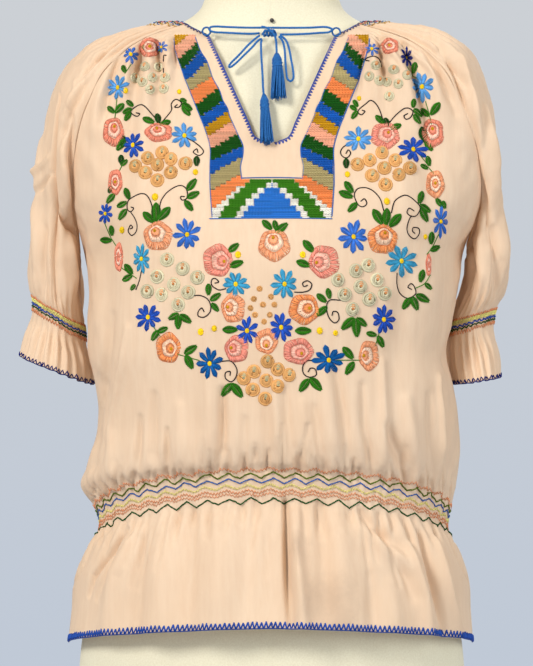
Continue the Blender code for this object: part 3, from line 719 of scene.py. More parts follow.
def sleeve_panel(side):
    v = np.linspace(-1, 1, SLEEVE_COLUMN_COUNT + 1)
    v = v + 0.05 * np.sin(2 * math.pi * v)
    grid = np.array([sleeve_point(side, level, v) for level in SLEEVE_LEVELS])
    if side == "left":
        grid, v = grid[:, ::-1], v[::-1]
    grid = pulled_back(grid, seam_setback(SLEEVE_LEVELS))
    closed = SLEEVE_LEVELS < ARMPIT
    joined = (grid[closed, 0] + grid[closed, -1]) / 2
    grid[closed, 0] = grid[closed, -1] = joined
    around = v[None] + 0 * grid[..., 0]
    x, z = grid[..., 0], grid[..., 2]
    stretch = looks_stretched(grid)
    front = fold_heights(SLEEVE_FOLDS[side], x, z, stretch)
    behind = fold_heights(SLEEVE_FOLDS[side], x, z + 16, stretch)
    turn = np.clip(around / 0.3 + 0.5, 0, 1)
    heights = front * (1 - turn) + behind * turn
    level = SLEEVE_LEVELS[:, None]
    cuff = CUFF[side]
    seed = 21 if side == "left" else 31
    heights += neck_pleats(around, NECK - level, seed, 8, 3.0)
    heights += 1.6 * bump_at(level, cuff + 13, 22, 6) * ripples(around, seed + 1, 13)
    heights += 2.4 * bump_at(level, cuff - 28, 14, 40) * ripples(around, seed + 2, 9)
    heights += 0.5 * bump_at(level, cuff, 8, 8) * ripples(around, seed + 3, 30)
    heights += 2.2 * crumple(grid, (17, 17, 34), seed) * np.clip((NECK - level) / 60, 0, 1)
    heights += 0.8 * crumple(grid, (8, 8, 14), seed)
    # the inseam and the raglan seam stay where they are
    heights *= edge_fade(around)
    moved = moved_out(grid, heights)
    if side == "left":
        limit = -(body_half_width(side, moved[..., 1], np.clip(moved[..., 2], HEM, ARMPIT)) + 2.2)
        moved[closed, :, 0] = np.minimum(moved[closed, :, 0], limit[closed])
    else:
        limit = body_half_width(side, moved[..., 1], np.clip(moved[..., 2], HEM, ARMPIT)) + 2.2
        moved[closed, :, 0] = np.maximum(moved[closed, :, 0], limit[closed])
    return Panel(moved)


# ---------------------------------------------------------------- materials


def colour(red, green, blue):
    """A colour named in ordinary screen values, as light."""
    parts = np.array((red, green, blue), float) / 255
    return np.where(parts <= 0.04045, parts / 12.92, ((parts + 0.055) / 1.055) ** 2.4)


def node(tree, kind, inputs=(), **settings):
    """Adds a node. inputs are (socket, value or another node's output)."""
    made = tree.nodes.new(kind)
    for name, value in settings.items():
        setattr(made, name, value)
    for socket, value in inputs:
        if isinstance(value, bpy.types.NodeSocket):
            tree.links.new(value, made.inputs[socket])
        else:
            made.inputs[socket].default_value = value
    return made


def material(name, roughness, sheen=0.0):
    made = bpy.data.materials.new(name)
    made.use_nodes = True
    shader = made.node_tree.nodes["Principled BSDF"]
    shader.inputs["Roughness"].default_value = roughness
    shader.inputs["Sheen Weight"].default_value = sheen
    shader.inputs["Sheen Roughness"].default_value = 0.5
    shader.inputs["Specular IOR Level"].default_value = 0.18
    return made, made.node_tree, shader


def grain(tree, scale, stretch=(1, 1, 1), detail=4.0):
    """Noise over an object's own space, scaled along each axis. Gives its value socket."""
    place = node(tree, "ShaderNodeTexCoord").outputs["Object"]
    scaled = node(tree, "ShaderNodeMapping", (("Vector", place), ("Scale", stretch)))
    made = node(
        tree, "ShaderNodeTexNoise",
        (("Vector", scaled.outputs[0]), ("Scale", scale), ("Detail", detail), ("Roughness", 0.6)),
    )
    return made.outputs[0]


def blended(tree, amount, low, high, first, second):
    """A colour between two, as the amount goes from low to high."""
    part = node(
        tree, "ShaderNodeMapRange",
        (("Value", amount), ("From Min", low), ("From Max", high), ("To Min", 0.0), ("To Max", 1.0)),
    )
    mixed = node(tree, "ShaderNodeMix", ((0, part.outputs[0]),), data_type="RGBA")
    for index, value in ((6, first), (7, second)):
        if isinstance(value, bpy.types.NodeSocket):
            tree.links.new(value, mixed.inputs[index])
        else:
            mixed.inputs[index].default_value = (*value, 1)
    return mixed.outputs[2]


def roughened(tree, shader, height, strength, distance):
    bump = node(
        tree, "ShaderNodeBump",
        (("Height", height), ("Strength", strength), ("Distance", distance)),
    )
    tree.links.new(bump.outputs[0], shader.inputs["Normal"])


STAINS = ((52, -128, 150, 20), (26, -134, 200, 13), (60, -130, 128, 14))


def crepe_material():
    made, tree, shader = material("cotton_crepe", 0.85, 0.1)
    streaks = grain(tree, 260, (1, 1, 0.06), 3)
    patches = grain(tree, 11, (1, 1, 0.5))
    base = blended(tree, streaks, 0.3, 0.7, colour(238, 209, 179), colour(244, 218, 189))
    base = blended(tree, patches, 0.35, 0.9, base, colour(233, 202, 170))
    place = node(tree, "ShaderNodeTexCoord").outputs["Object"]
    blotch = grain(tree, 120)
    for x, y, z, radius in STAINS:
        away = node(
            tree, "ShaderNodeVectorMath", ((0, place), (1, (x * MM, y * MM, z * MM))),
            operation="DISTANCE",
        )
        ragged = node(
            tree, "ShaderNodeMath", ((0, blotch), (1, radius * 1.2 * MM), (2, away.outputs["Value"])),
            operation="MULTIPLY_ADD",
        )
        near, far = radius * 1.6 * MM, radius * 0.9 * MM
        base = blended(tree, ragged.outputs[0], near * 1.3, far, base, colour(218, 190, 162))
    tree.links.new(base, shader.inputs["Base Color"])
    roughened(tree, shader, grain(tree, 900, (1, 1, 0.35), 5), 0.35, 0.0004)
    # thin cloth lets some light through
    through = node(tree, "ShaderNodeBsdfTranslucent", (("Color", (*colour(236, 200, 165), 1)),))
    both = node(tree, "ShaderNodeMixShader", ((0, 0.16), (1, shader.outputs[0]), (2, through.outputs[0])))
    tree.links.new(both.outputs[0], tree.nodes["Material Output"].inputs["Surface"])
    return made


def canvas_material():
    made, tree, shader = material("form_canvas_cloth", 0.85, 0.1)
    weave = grain(tree, 700, (1, 1, 1), 3)
    base = blended(tree, weave, 0.3, 0.7, colour(224, 216, 188), colour(234, 228, 202))
    tree.links.new(base, shader.inputs["Base Color"])
    roughened(tree, shader, weave, 0.3, 0.0003)
    return made


def dyed_material(name, dark, light, scale=900, roughness=0.65, sheen=0.0):
    made, tree, shader = material(name, roughness, sheen)
    fibres = grain(tree, scale, (1, 1, 1), 3)
    base = blended(tree, fibres, 0.3, 0.7, colour(*dark), colour(*light))
    tree.links.new(base, shader.inputs["Base Color"])
    roughened(tree, shader, fibres, 0.3, 0.0002)
    return made


def thread_material():
    """Floss in the colour that each thread carries, with a little of its own unevenness."""
    made, tree, shader = material("floss", 0.7)
    own = node(tree, "ShaderNodeAttribute", attribute_name="dye").outputs["Color"]
    fibres = grain(tree, 1400, (1, 1, 1), 2)
    shade = node(
        tree, "ShaderNodeHueSaturation",
        (("Color", own), ("Value", node(
            tree, "ShaderNodeMapRange",
            (("Value", fibres), ("From Min", 0.3), ("From Max", 0.7), ("To Min", 0.88), ("To Max", 1.1)),
        ).outputs[0])),
    )
    tree.links.new(shade.outputs[0], shader.inputs["Base Color"])
    return made


CREPE = crepe_material()
CANVAS = canvas_material()
FLOSS = thread_material()
LACE_DYE = dyed_material("lace_cotton", (24, 84, 150), (55, 125, 195))
PIN_STEEL = dyed_material("pin_steel", (45, 42, 42), (80, 76, 74), 1500, 0.35)

# ---------------------------------------------------------------- making meshes


def mesh_object(name, points, faces, finish, dyes=None, flat=False):
    """A mesh from points in mm. dyes are a colour for each point."""
    data = bpy.data.meshes.new(name)
    points = np.asarray(points, float).reshape(-1, 3)
    faces = np.asarray(faces, int)
    data.vertices.add(len(points))
    data.vertices.foreach_set("co", (points * MM).ravel())
    data.loops.add(faces.size)
    data.loops.foreach_set("vertex_index", faces.ravel())
    data.polygons.add(len(faces))
    data.polygons.foreach_set("loop_start", np.arange(len(faces)) * faces.shape[1])
    data.update(calc_edges=True)
    data.validate()
    if not flat:
        data.polygons.foreach_set("use_smooth", np.ones(len(data.polygons), bool))
    if dyes is not None:
        carried = data.color_attributes.new("dye", "FLOAT_COLOR", "POINT")
        filled = np.concatenate([np.asarray(dyes, float), np.ones((len(points), 1))], axis=1)
        carried.data.foreach_set("color", filled.ravel())
    data.materials.append(finish)
    made = bpy.data.objects.new(name, data)
    bpy.context.scene.collection.objects.link(made)
    return made


def grid_faces(rows, cols, wrap=False, first=0):
    """Faces of a grid of points. With wrap, the last column joins the first."""
    i, j = np.meshgrid(np.arange(rows - 1), np.arange(cols if wrap else cols - 1), indexing="ij")
    k = (j + 1) % cols
    corners = (i * cols + j, (i + 1) * cols + j, (i + 1) * cols + k, i * cols + k)
    return np.stack([c.ravel() for c in corners], axis=1) + first


def curve_through(points, spacing):
    """Points at an even spacing along a smooth curve through the given ones."""
    points = np.array(points, float)
    before = 2 * points[0] - points[1]
    after = 2 * points[-1] - points[-2]
    knots = np.concatenate([[before], points, [after]])
    fine = []
    for a, b, c, d in zip(knots, knots[1:], knots[2:], knots[3:]):
        t = np.linspace(0, 1, 12, endpoint=False)[:, None]
        fine.append(
            0.5 * (2 * b + (c - a) * t + (2 * a - 5 * b + 4 * c - d) * t**2 + (3 * b - a - 3 * c + d) * t**3)
        )
    fine = np.concatenate(fine + [points[-1:]])
    run = np.concatenate([[0], np.cumsum(np.linalg.norm(np.diff(fine, axis=0), axis=1))])
    count = max(2, round(run[-1] / spacing) + 1)
    at = np.linspace(0, run[-1], count)
    return np.stack([np.interp(at, run, fine[:, k]) for k in range(points.shape[1])], axis=1)


def frames_along(path):
    """A steady pair of directions across the path at each of its points."""
    tangents = np.gradient(path, axis=0)
    tangents /= np.linalg.norm(tangents, axis=1, keepdims=True)
    across = np.cross(tangents[0], (0, 0, 1) if abs(tangents[0][2]) < 0.9 else (0, 1, 0))
    sides, ups = [], []
    for tangent in tangents:
        across = across - tangent * np.dot(across, tangent)
        across /= np.linalg.norm(across)
        sides.append(across)
        ups.append(np.cross(tangent, across))
    return np.array(sides), np.array(ups)


def tube(path, radius, sides):
    """Points and faces of a closed tube. radius may change along the path."""
    across, up = frames_along(path)
    radius = np.broadcast_to(np.asarray(radius, float), (len(path),))
    turn = np.linspace(0, 2 * math.pi, sides, endpoint=False)
    ring = np.cos(turn)[None, :, None] * across[:, None] + np.sin(turn)[None, :, None] * up[:, None]
    points = (path[:, None] + ring * radius[:, None, None]).reshape(-1, 3)
    faces = grid_faces(len(path), sides, wrap=True)
    ends = np.stack([path[0], path[-1]])
    first, last = len(points), len(points) + 1
    j = np.arange(sides)
    k = (j + 1) % sides
    base = (len(path) - 1) * sides
    caps = np.concatenate([
        np.stack([np.full(sides, first), j, k, k], axis=1),
        np.stack([np.full(sides, last), base + k, base + j, base + j], axis=1),
    ])
    return np.concatenate([points, ends]), faces, caps


def joined(parts):
    """Several tubes as one: all points, and all faces as triangles."""
    points, faces = [], []
    first = 0
    for place, quads, caps in parts:
        split = np.concatenate([quads[:, :3], quads[:, [0, 2, 3]], caps[:, :3]])
        faces.append(split + first)
        points.append(place)
        first += len(place)
    return np.concatenate(points), np.concatenate(faces)


STRAND_PART = 0.66  # of the cord's radius, for each of its two strands


def twisted(path, diameter, pitch, strands=2, sides=7):
    """A cord laid from strands that wind about the path."""
    across, up = frames_along(path)
    run = np.concatenate([[0], np.cumsum(np.linalg.norm(np.diff(path, axis=0), axis=1))])
    thick = diameter / 2 * STRAND_PART
    parts = []
    for k in range(strands):
        turn = 2 * math.pi * (run / pitch + k / strands)
        offset = np.cos(turn)[:, None] * across + np.sin(turn)[:, None] * up
        parts.append(tube(path + offset * (diameter / 2 - thick), thick, sides))
    return joined(parts)


# ---------------------------------------------------------------- lace

LACE_PITCH = 4.2
lace_paths = {name: curve_through(route, 0.45) for name, route in LACE.items()}
lace = {}
for name, path in lace_paths.items():
    points, faces = twisted(path, CORD, LACE_PITCH)
    lace[name] = mesh_object(name + "_cord", points, faces, LACE_DYE)


def wound_knot():
    """A flat knot: cord wound over itself both ways."""
    cx, cy, cz = KNOT
    width, deep, tall = (size / 2 - CORD / 2 for size in KNOT_SIZE)
    parts = []
    for k, (tilt, shift) in enumerate(((0.25, -3.6), (0.1, -0.6), (-0.15, 2.2), (-0.35, 4.6))):
        turn = np.linspace(0, 2 * math.pi, 60)
        ring = np.stack([
            cx + shift + 1.2 * np.cos(turn) + tilt * tall * np.sin(turn),
            cy + (deep + 0.2 * k) * np.cos(turn),
            cz + tall * np.sin(turn),
        ], axis=1)
        parts.append(twisted(ring, CORD, LACE_PITCH))
    over = curve_through((
        (cx - width, cy - 1, cz - 1.5), (cx - 3, cy - deep - 1.4, cz + 1.8),
        (cx + 2, cy - deep - 1.6, cz + 0.4), (cx + width, cy - 1, cz - 2.2),
    ), 0.45)
    parts.append(twisted(over, CORD, LACE_PITCH))
    points, faces, first = [], [], 0
    for place, triangles in parts:
        points.append(place)
        faces.append(triangles + first)
        first += len(place)
    return mesh_object("knot_cord", np.concatenate(points), np.concatenate(faces), LACE_DYE)


def tassel(name, seed):
    """A bundle of strands under a wrapped head."""
    (top, foot, scale) = TASSELS[name]
    top, foot = np.array(top), np.array(foot)
    length = np.linalg.norm(foot - top)
    draw = random.Random(seed)
    axis = (foot - top) / length
    side = np.cross(axis, (0, 1, 0))
    side /= np.linalg.norm(side)
    deep = np.cross(axis, side)
    strands = []
    for k in range(84):
        turn = k * 2.39996
        reach = math.sqrt((k + 0.5) / 84) * 0.93
        end = draw.uniform(0.9, 1.0)
        down = np.linspace(0.0, end, 16)
        radius = np.interp(down, TASSEL_OUTLINE["down"], TASSEL_OUTLINE["radius"]) * scale * reach
        sway = draw.uniform(-1, 1) * 0.9 * np.clip(down - 0.3, 0, 1) ** 2 * scale
        turns = turn + 0.5 * down + draw.uniform(-0.2, 0.2) * down
        path = (
            top + axis * (down * length)[:, None]
            + side * (np.cos(turns) * radius + sway)[:, None]
            + deep * (np.sin(turns) * radius)[:, None]
        )
        strands.append(tube(path, 0.42, 5))
    # thread wound around the neck of the tassel
    down = np.linspace(0.2, 0.29, 90)
    radius = np.interp(down, TASSEL_OUTLINE["down"], TASSEL_OUTLINE["radius"]) * scale + 0.2
    turns = np.linspace(0, 2 * math.pi * 5, 90)
    wrap = (
        top + axis * (down * length)[:, None]
        + side * (np.cos(turns) * radius)[:, None] + deep * (np.sin(turns) * radius)[:, None]
    )
    strands.append(tube(wrap, 0.45, 6))
    points, faces = joined(strands)
    return mesh_object(name + "_threads", points, faces, LACE_DYE)


def thread_eyelet(side):
    """A ring worked over with close stitches."""
    x, y, z = EYELETS[side]
    turn = np.linspace(0, 2 * math.pi, 340)
    wind = turn * 26
    radius = EYELET_RADIUS + EYELET_WIRE * 0.6 * np.cos(wind)
    path = np.stack([
        x + radius * np.cos(turn), y + EYELET_WIRE * 0.6 * np.sin(wind), z + radius * np.sin(turn),
    ], axis=1)
    points, faces = joined([tube(path, 0.42, 6)])
    return mesh_object("eyelet_" + side + "_thread", points, faces, LACE_DYE)


knot = wound_knot()
tassels = {name: tassel(name, seed) for name, seed in (("tassel_left", 4), ("tassel_right", 9))}
eyelets = {side: thread_eyelet(side) for side in EYELETS}

# ---------------------------------------------------------------- cloth

CLOTH_THICKNESS = 1.1
FRONT = front_panel()
BACK = back_panel()
SLEEVE = {side: sleeve_panel(side) for side in ("left", "right")}


def hang(name, panel):
    """The panel as a thin piece of cloth, with its thickness behind the face."""
    rows, cols = panel.grid.shape[:2]
    faces = grid_faces(rows, cols)
    points = panel.grid.reshape(-1, 3).copy()
    if panel.seam:
        # open above the slit's foot, and one cloth below it
        top, middle = panel.seam
        column_of = faces[:, 0] % cols
        row_of = faces[:, 0] // cols
        faces = faces[~((column_of == middle - 1) & (row_of < top))]
        ids = np.arange(rows * cols).reshape(rows, cols)
        merged = ids.copy()
        merged[top:, middle] = ids[top:, middle - 1]
        faces = merged.ravel()[faces]
        kept = faces[(faces[:, 0] != faces[:, 3]) & (faces[:, 1] != faces[:, 2])]
        corner = faces[(faces[:, 0] != faces[:, 3]) ^ (faces[:, 1] != faces[:, 2])]
        triangles = np.concatenate([kept[:, :3], kept[:, [0, 2, 3]], corner[:, :3]])
    else:
        triangles = np.concatenate([faces[:, :3], faces[:, [0, 2, 3]]])
        if name.startswith("sleeve"):
            ids = np.arange(rows * cols).reshape(rows, cols)
            closed = SLEEVE_LEVELS < ARMPIT
            ids[closed, -1] = ids[closed, 0]
            triangles = ids.ravel()[triangles]
    used, packed = np.unique(triangles, return_inverse=True)
    made = mesh_object(name, points[used], packed.reshape(-1, 3), CREPE)
    solid = made.modifiers.new("thickness", "SOLIDIFY")
    solid.thickness = CLOTH_THICKNESS * MM
    solid.offset = -1
    solid.use_rim = True
    solid.use_rim_only = True
    return made


cloth = {
    "front": hang("front_cloth", FRONT),
    "back": hang("back_cloth", BACK),
    "sleeve_left": hang("sleeve_left_cloth", SLEEVE["left"]),
    "sleeve_right": hang("sleeve_right_cloth", SLEEVE["right"]),
}

# ---------------------------------------------------------------- thread on cloth

DYES = {
    "light": (100, 168, 228), "mid": (66, 124, 214), "royal": (40, 90, 196), "navy": (20, 40, 130),
    "turquoise": (70, 170, 210), "petrol": (12, 98, 168), "coral": (240, 152, 125),
    "coral_line": (218, 118, 92), "coral_pale": (250, 208, 186), "peach": (246, 175, 130),
    "peach_line": (230, 140, 92), "peach_pale": (253, 222, 196), "pink": (242, 158, 138),
    "pink_line": (222, 122, 104), "pink_pale": (248, 195, 175), "orange": (246, 162, 100),
    "orange_line": (226, 124, 72), "orange_pale": (252, 218, 188), "leaf": (50, 125, 20),
    "dark_leaf": (25, 80, 20), "tan": (222, 168, 105), "tan_line": (196, 134, 76),
    "tan_middle": (185, 185, 150), "grey": (210, 202, 170), "grey_line": (176, 166, 130),
    "grey_middle": (226, 156, 100), "yellow": (252, 212, 30), "stem": (30, 22, 30),
    "gold": (200, 150, 20), "band_pink": (243, 180, 148), "green": (18, 88, 15),
    "blue": (22, 95, 185), "khaki": (185, 170, 120), "band_orange": (248, 150, 85),
    "leaf_green": (60, 130, 20), "bright_blue": (48, 128, 215), "white": (240, 236, 225),
    # dark red and black are painted shadow, for the dashes under the band's steps
    "outline": (60, 110, 190), "shadow_dark_red": (130, 60, 40),
    "shadow_black": (28, 34, 30), "waist_orange": (230, 150, 105), "olive": (90, 110, 20),
    "waist_blue": (60, 100, 170), "pale_yellow": (240, 232, 140), "salmon": (232, 130, 100),
    "forest": (20, 80, 30), "edge_navy": (60, 62, 115), "slit_blue": (60, 85, 175),
    "hem_blue": (40, 80, 170), "hem_navy": (22, 32, 112),
}
DYES = {name: colour(*shade) for name, shade in DYES.items()}
LIFT = 0.25  # mm from the cloth to a thread's middle


class Needlework:
    """Collects raised threads and joins them into one piece."""

    def __init__(self, seed):
        self.draw = np.random.RandomState(seed)
        self.points, self.faces, self.dyes = [], [], []
        self.count = 0

    def add(self, paths, normals, radius, shade, blunt=0.45):
        """Threads of (count, points, 3), on cloth with those normals. A thread is a low
        ridge with narrowing ends. radius and shade may differ from thread to thread."""
        paths = np.asarray(paths, float)
        if paths.ndim == 2:
            paths, normals = paths[None], np.asarray(normals)[None]
        many, length = paths.shape[:2]
        if not many:
            return
        radius = np.broadcast_to(np.asarray(radius, float), (many,))[:, None, None]
        ahead = np.gradient(paths, axis=1)
        across = np.cross(ahead, normals)
        across /= np.maximum(np.linalg.norm(across, axis=-1, keepdims=True), 1e-9)
        thin = np.ones(length)
        thin[0] = thin[-1] = blunt
        spread = radius * thin[None, :, None]
        corners = np.stack([
            paths + across * spread - normals * spread * 0.5,
            paths + normals * spread * 0.9,
            paths - across * spread - normals * spread * 0.5,
        ], axis=2)
        ring = np.arange(length * 3).reshape(length, 3)
        quads = []
        for a, b in ((0, 1), (1, 2), (2, 0)):
            quads.append(np.stack([ring[:-1, a], ring[:-1, b], ring[1:, b]], axis=1))
            quads.append(np.stack([ring[:-1, a], ring[1:, b], ring[1:, a]], axis=1))
        first, last = ring[0], ring[-1]
        quads.append(np.array([[first[0], first[2], first[1]], [last[0], last[1], last[2]]]))
        one = np.concatenate(quads)
        starts = self.count + np.arange(many)[:, None, None] * length * 3
        self.faces.append((one[None] + starts).reshape(-1, 3))
        self.points.append(corners.reshape(-1, 3))
        shade = np.broadcast_to(np.asarray(shade, float), (many, 3))
        uneven = shade * self.draw.uniform(0.82, 1.14, (many, 1))
        self.dyes.append(np.repeat(uneven, length * 3, axis=0))
        self.count += many * length * 3

    def finish(self, name):
        made = mesh_object(
            name, np.concatenate(self.points), np.concatenate(self.faces), FLOSS,
            np.concatenate(self.dyes), flat=True,
        )
        worked.append(made)
        return made


worked = []
SEEN_STEP = 1.0
SEEN_X = np.arange(-178, 178.1, SEEN_STEP)
SEEN_Z = np.arange(320, 664.1, SEEN_STEP)


def seen_front():
    """The front's depth and facing on an upright grid, found by looking at it squarely."""
    rows, cols = FRONT.grid.shape[:2]
    faces = grid_faces(rows, cols)
    tree = BVHTree.FromPolygons(FRONT.grid.reshape(-1, 3).tolist(), faces.tolist())
    flat = FRONT.normals.reshape(-1, 3)
    depth = np.zeros((len(SEEN_Z), len(SEEN_X)))
    facing = np.zeros((len(SEEN_Z), len(SEEN_X), 3))
    facing[..., 1] = -1
    for i, z in enumerate(SEEN_Z):
        last = None
        for j, x in enumerate(SEEN_X):
            place, normal, face, _ = tree.ray_cast(Vector((x, -400, z)), Vector((0, 1, 0)))
            if place is None:
                depth[i, j] = last if last is not None else -60
                continue
            depth[i, j] = last = place.y
            facing[i, j] = flat[faces[face, 0]]
    return depth, facing


SEEN_DEPTH, SEEN_FACING = seen_front()


def on_front(x, z, lift=LIFT):
    """Points on the front where it is seen at x and z, raised a little, and normals."""
    x, z = np.broadcast_arrays(np.asarray(x, float), np.asarray(z, float))
    col = np.clip((x - SEEN_X[0]) / SEEN_STEP, 0, len(SEEN_X) - 1.001)
    row = np.clip((z - SEEN_Z[0]) / SEEN_STEP, 0, len(SEEN_Z) - 1.001)
    i, j = row.astype(int), col.astype(int)
    a, b = row - i, col - j
    weights = ((1 - a) * (1 - b), (1 - a) * b, a * (1 - b), a * b)
    spots = ((i, j), (i, j + 1), (i + 1, j), (i + 1, j + 1))
    depth = sum(w * SEEN_DEPTH[s] for w, s in zip(weights, spots))
    facing = sum(w[..., None] * SEEN_FACING[s] for w, s in zip(weights, spots))
    facing /= np.linalg.norm(facing, axis=-1, keepdims=True)
    return np.stack([x, depth, z], axis=-1) + facing * lift, facing


def stitch_run(work, line, shade, length=2.2, radius=0.55, lean=0.35, lift=0.45):
    """Stem stitch: short slanted stitches that overlap along a line of (x, z)."""
    path = curve_through(line, length * 0.62)
    ahead = np.gradient(path, axis=0)
    ahead /= np.linalg.norm(ahead, axis=1, keepdims=True)
    across = np.stack([ahead[:, 1], -ahead[:, 0]], axis=1)
    t = np.linspace(-0.5, 0.5, 3)[None, :, None]
    runs = path[:, None] + ahead[:, None] * t * length + across[:, None] * t * lean
    points, normals = on_front(runs[..., 0], runs[..., 1], lift)
    work.add(points, normals, radius, shade)


# Six steps of colour across each leg of the neck band. A row of cells is (dye, height of
# the lower edge at the inner side, and at the outer side), from the top down.
BAND_INNER = (
    (652, -69), (639, -64), (631, -59), (623, -56), (614, -53), (603, -47), (594, -44),
    (587, -40), (580, -38), (573, -35), (562, -30), (553, -26), (544, -26), (534, -28),
    (523, -27),
)
BAND_OUTER = (
    (650, -88), (642, -87), (632, -84), (623, -81), (614, -78), (599, -72), (584, -66),
    (579, -64), (566, -59), (551, -55), (535, -55), (519, -55), (503, -54), (490, -53),
)
BAND_STRIPES = (
    ("gold", 659, 645), ("band_pink", 647, 633), ("green", 639, 624), ("blue", 628, 613),
    ("khaki", 615, 604), ("band_orange", 604, 591), ("green", 593, 580), ("blue", 583, 571),
    ("gold", 574, 562), ("band_pink", 563, 551), ("green", 552, 540), ("blue", 541, 528),
    ("khaki", 526, 513), ("band_orange", 516, 496), ("white", 500, 480),
)
BAND_STEPS = 6
BAND_PITCH = 1.6
BAND_WAVE = 2.6
BAND_TURN = 523  # height of the inner rectangle's lower edge
BAND_FOOT = 487
# the darker dashes on the band are painted shadow under its steps
BAND_TOP_STEP = 654  # height above which the stripes have no darker dashes
BAND_LEAN = -0.6  # how far the right leg stands inward of the left one's mirror


def band_edges(side, z):
    """Inner and outer edge of a leg of the band, as distances from the middle."""
    inner, outer = (np.array(edge, float)[::-1] for edge in (BAND_INNER, BAND_OUTER))
    shift = 0.0 if side == "left" else BAND_LEAN
    return (
        -np.interp(z, inner[:, 0], inner[:, 1]) + shift,
        -np.interp(z, outer[:, 0], outer[:, 1]) + shift,
    )


def leg_dye(part, z):
    """Dye name at a place on a leg: part is 0 at its inner edge and 1 at its outer."""
    step = min(BAND_STEPS - 1, int(part * BAND_STEPS)) / (BAND_STEPS - 1)
    for name, inner, outer in BAND_STRIPES:
        if z > inner + (outer - inner) * step:
            return name
    return "white"


# Edges of the green arms on the band's foot, and the stepped pyramid's half-width, each
# (height, distance from the middle).
ARM_OUTER = ((487, 47), (493, 45), (499, 41), (504, 36), (510, 31), (516, 25), (523, 20))
ARM_INNER = ((487, 33), (495, 29), (501, 24), (507, 18), (512, 13), (516, 8), (519, 2), (520, 0))
PYRAMID = ((485, 27), (490, 26), (495, 23), (500, 18), (505, 13), (511, 8), (516, 3.4), (517, 0))
FOOT_STEP = 5.2


def foot_dye(away, z):
    """Dye name on the band's foot, between the legs: a pyramid under two green arms."""
    level = math.floor(z / FOOT_STEP) * FOOT_STEP + FOOT_STEP / 2
    if level < 518 and away < np.interp(level, *zip(*PYRAMID)):
        return "bright_blue"
    return "leaf_green" if away > np.interp(level, *zip(*ARM_INNER)) else "white"


def band_dye(side, away, z):
    """Dye name anywhere on the band."""
    level = math.floor(z / FOOT_STEP) * FOOT_STEP + FOOT_STEP / 2
    if z < BAND_TURN and away < np.interp(level, *zip(*ARM_OUTER)):
        return foot_dye(away, z)
    inner, outer = band_edges(side, z)
    return "white" if z < 497 else leg_dye((away - inner) / (outer - inner), z)


def neck_band(work):
    for k, z in enumerate(np.arange(BAND_FOOT + 1, 655, BAND_PITCH)):
        for side, sign in (("left", -1), ("right", 1)):
            inner, outer = band_edges(side, z)
            if z < BAND_TURN:
                inner = -0.8
            count = max(4, round((outer - inner) / (BAND_WAVE / 4)))
            away = np.linspace(inner, outer, count + 1)
            names = [band_dye(side, a, z) for a in (away[:-1] + away[1:]) / 2]
            first = 0
            for j in range(1, count + 1):
                if j < count and names[j] == names[first]:
                    continue
                run = np.linspace(away[first], away[j], max(3, (j - first) + 1))
                wave = 0.42 * np.sin(2 * math.pi * run / BAND_WAVE + k * 0.35)
                points, normals = on_front(sign * run, z + wave, 0.45)
                work.add(points, normals, 0.86, DYES[names[first]])
                first = j
    for side, sign in (("left", -1), ("right", 1)):
        # painted shadow: a darker dash under each step
        for name, inner, outer in BAND_STRIPES[:-1]:
            for step in range(BAND_STEPS):
                z = inner + (outer - inner) * step / (BAND_STEPS - 1)
                near, far = band_edges(side, z)
                if z > BAND_TOP_STEP or z < 500:
                    continue
                a = near + (far - near) * (step + 0.1) / BAND_STEPS
                b = near + (far - near) * (step + 0.95) / BAND_STEPS
                run = np.linspace(a, b, 4)
                points, normals = on_front(sign * run, z + 0 * run, 0.75)
                shade = "shadow_dark_red" if name in ("band_pink", "band_orange", "gold") else "shadow_black"
                work.add(points, normals, 0.38, DYES[shade])
        inner = [(sign * -x, z) for z, x in BAND_INNER]
        outer = [(sign * -x, z) for z, x in BAND_OUTER]
        stitch_run(work, inner, DYES["outline"], 3.0, 0.6)
        stitch_run(work, outer, DYES["outline"], 3.0, 0.6)
    stitch_run(work, [(-54, 487), (-20, 487.4), (20, 487.4), (52, 487)], DYES["outline"], 3.0, 0.6)
    stitch_run(work, [(-27, 523.4), (-10, 523.8), (10, 523.8), (25, 523.4)], DYES["outline"], 3.0, 0.6)


# Flowers, (dye, x, z, width, height, petals)
DAISIES = (
    ("mid", -127, 636, 14, 17, 8), ("light", -138, 606, 20, 21, 9), ("royal", -124, 554, 21, 22, 9),
    ("light", -78, 562, 24, 22, 9), ("royal", -149, 493, 14, 20, 8), ("mid", -75, 473, 24, 27, 9),
    ("turquoise", -116, 452, 16, 25, 9), ("turquoise", -32, 429, 24, 23, 9),
    ("royal", -110, 400, 23, 24, 9), ("royal", -22, 388, 19, 25, 8), ("petrol", -55, 359, 22, 28, 9),
    ("mid", -99, 643, 11, 11, 7),
    ("navy", 121, 634, 12, 19, 8), ("light", 135, 607, 21, 27, 9), ("royal", 126, 550, 27, 22, 9),
    ("light", 77, 559, 26, 21, 9), ("mid", 151, 486, 15, 28, 8), ("mid", 72, 471, 27, 29, 9),
    ("turquoise", 115, 450, 29, 27, 9), ("turquoise", 11, 429, 23, 26, 9),
    ("royal", 99, 398, 21, 27, 9), ("royal", 8, 391, 22, 25, 9), ("petrol", 50, 362, 29, 25, 9),
    ("mid", 90, 641, 13, 12, 7),
)
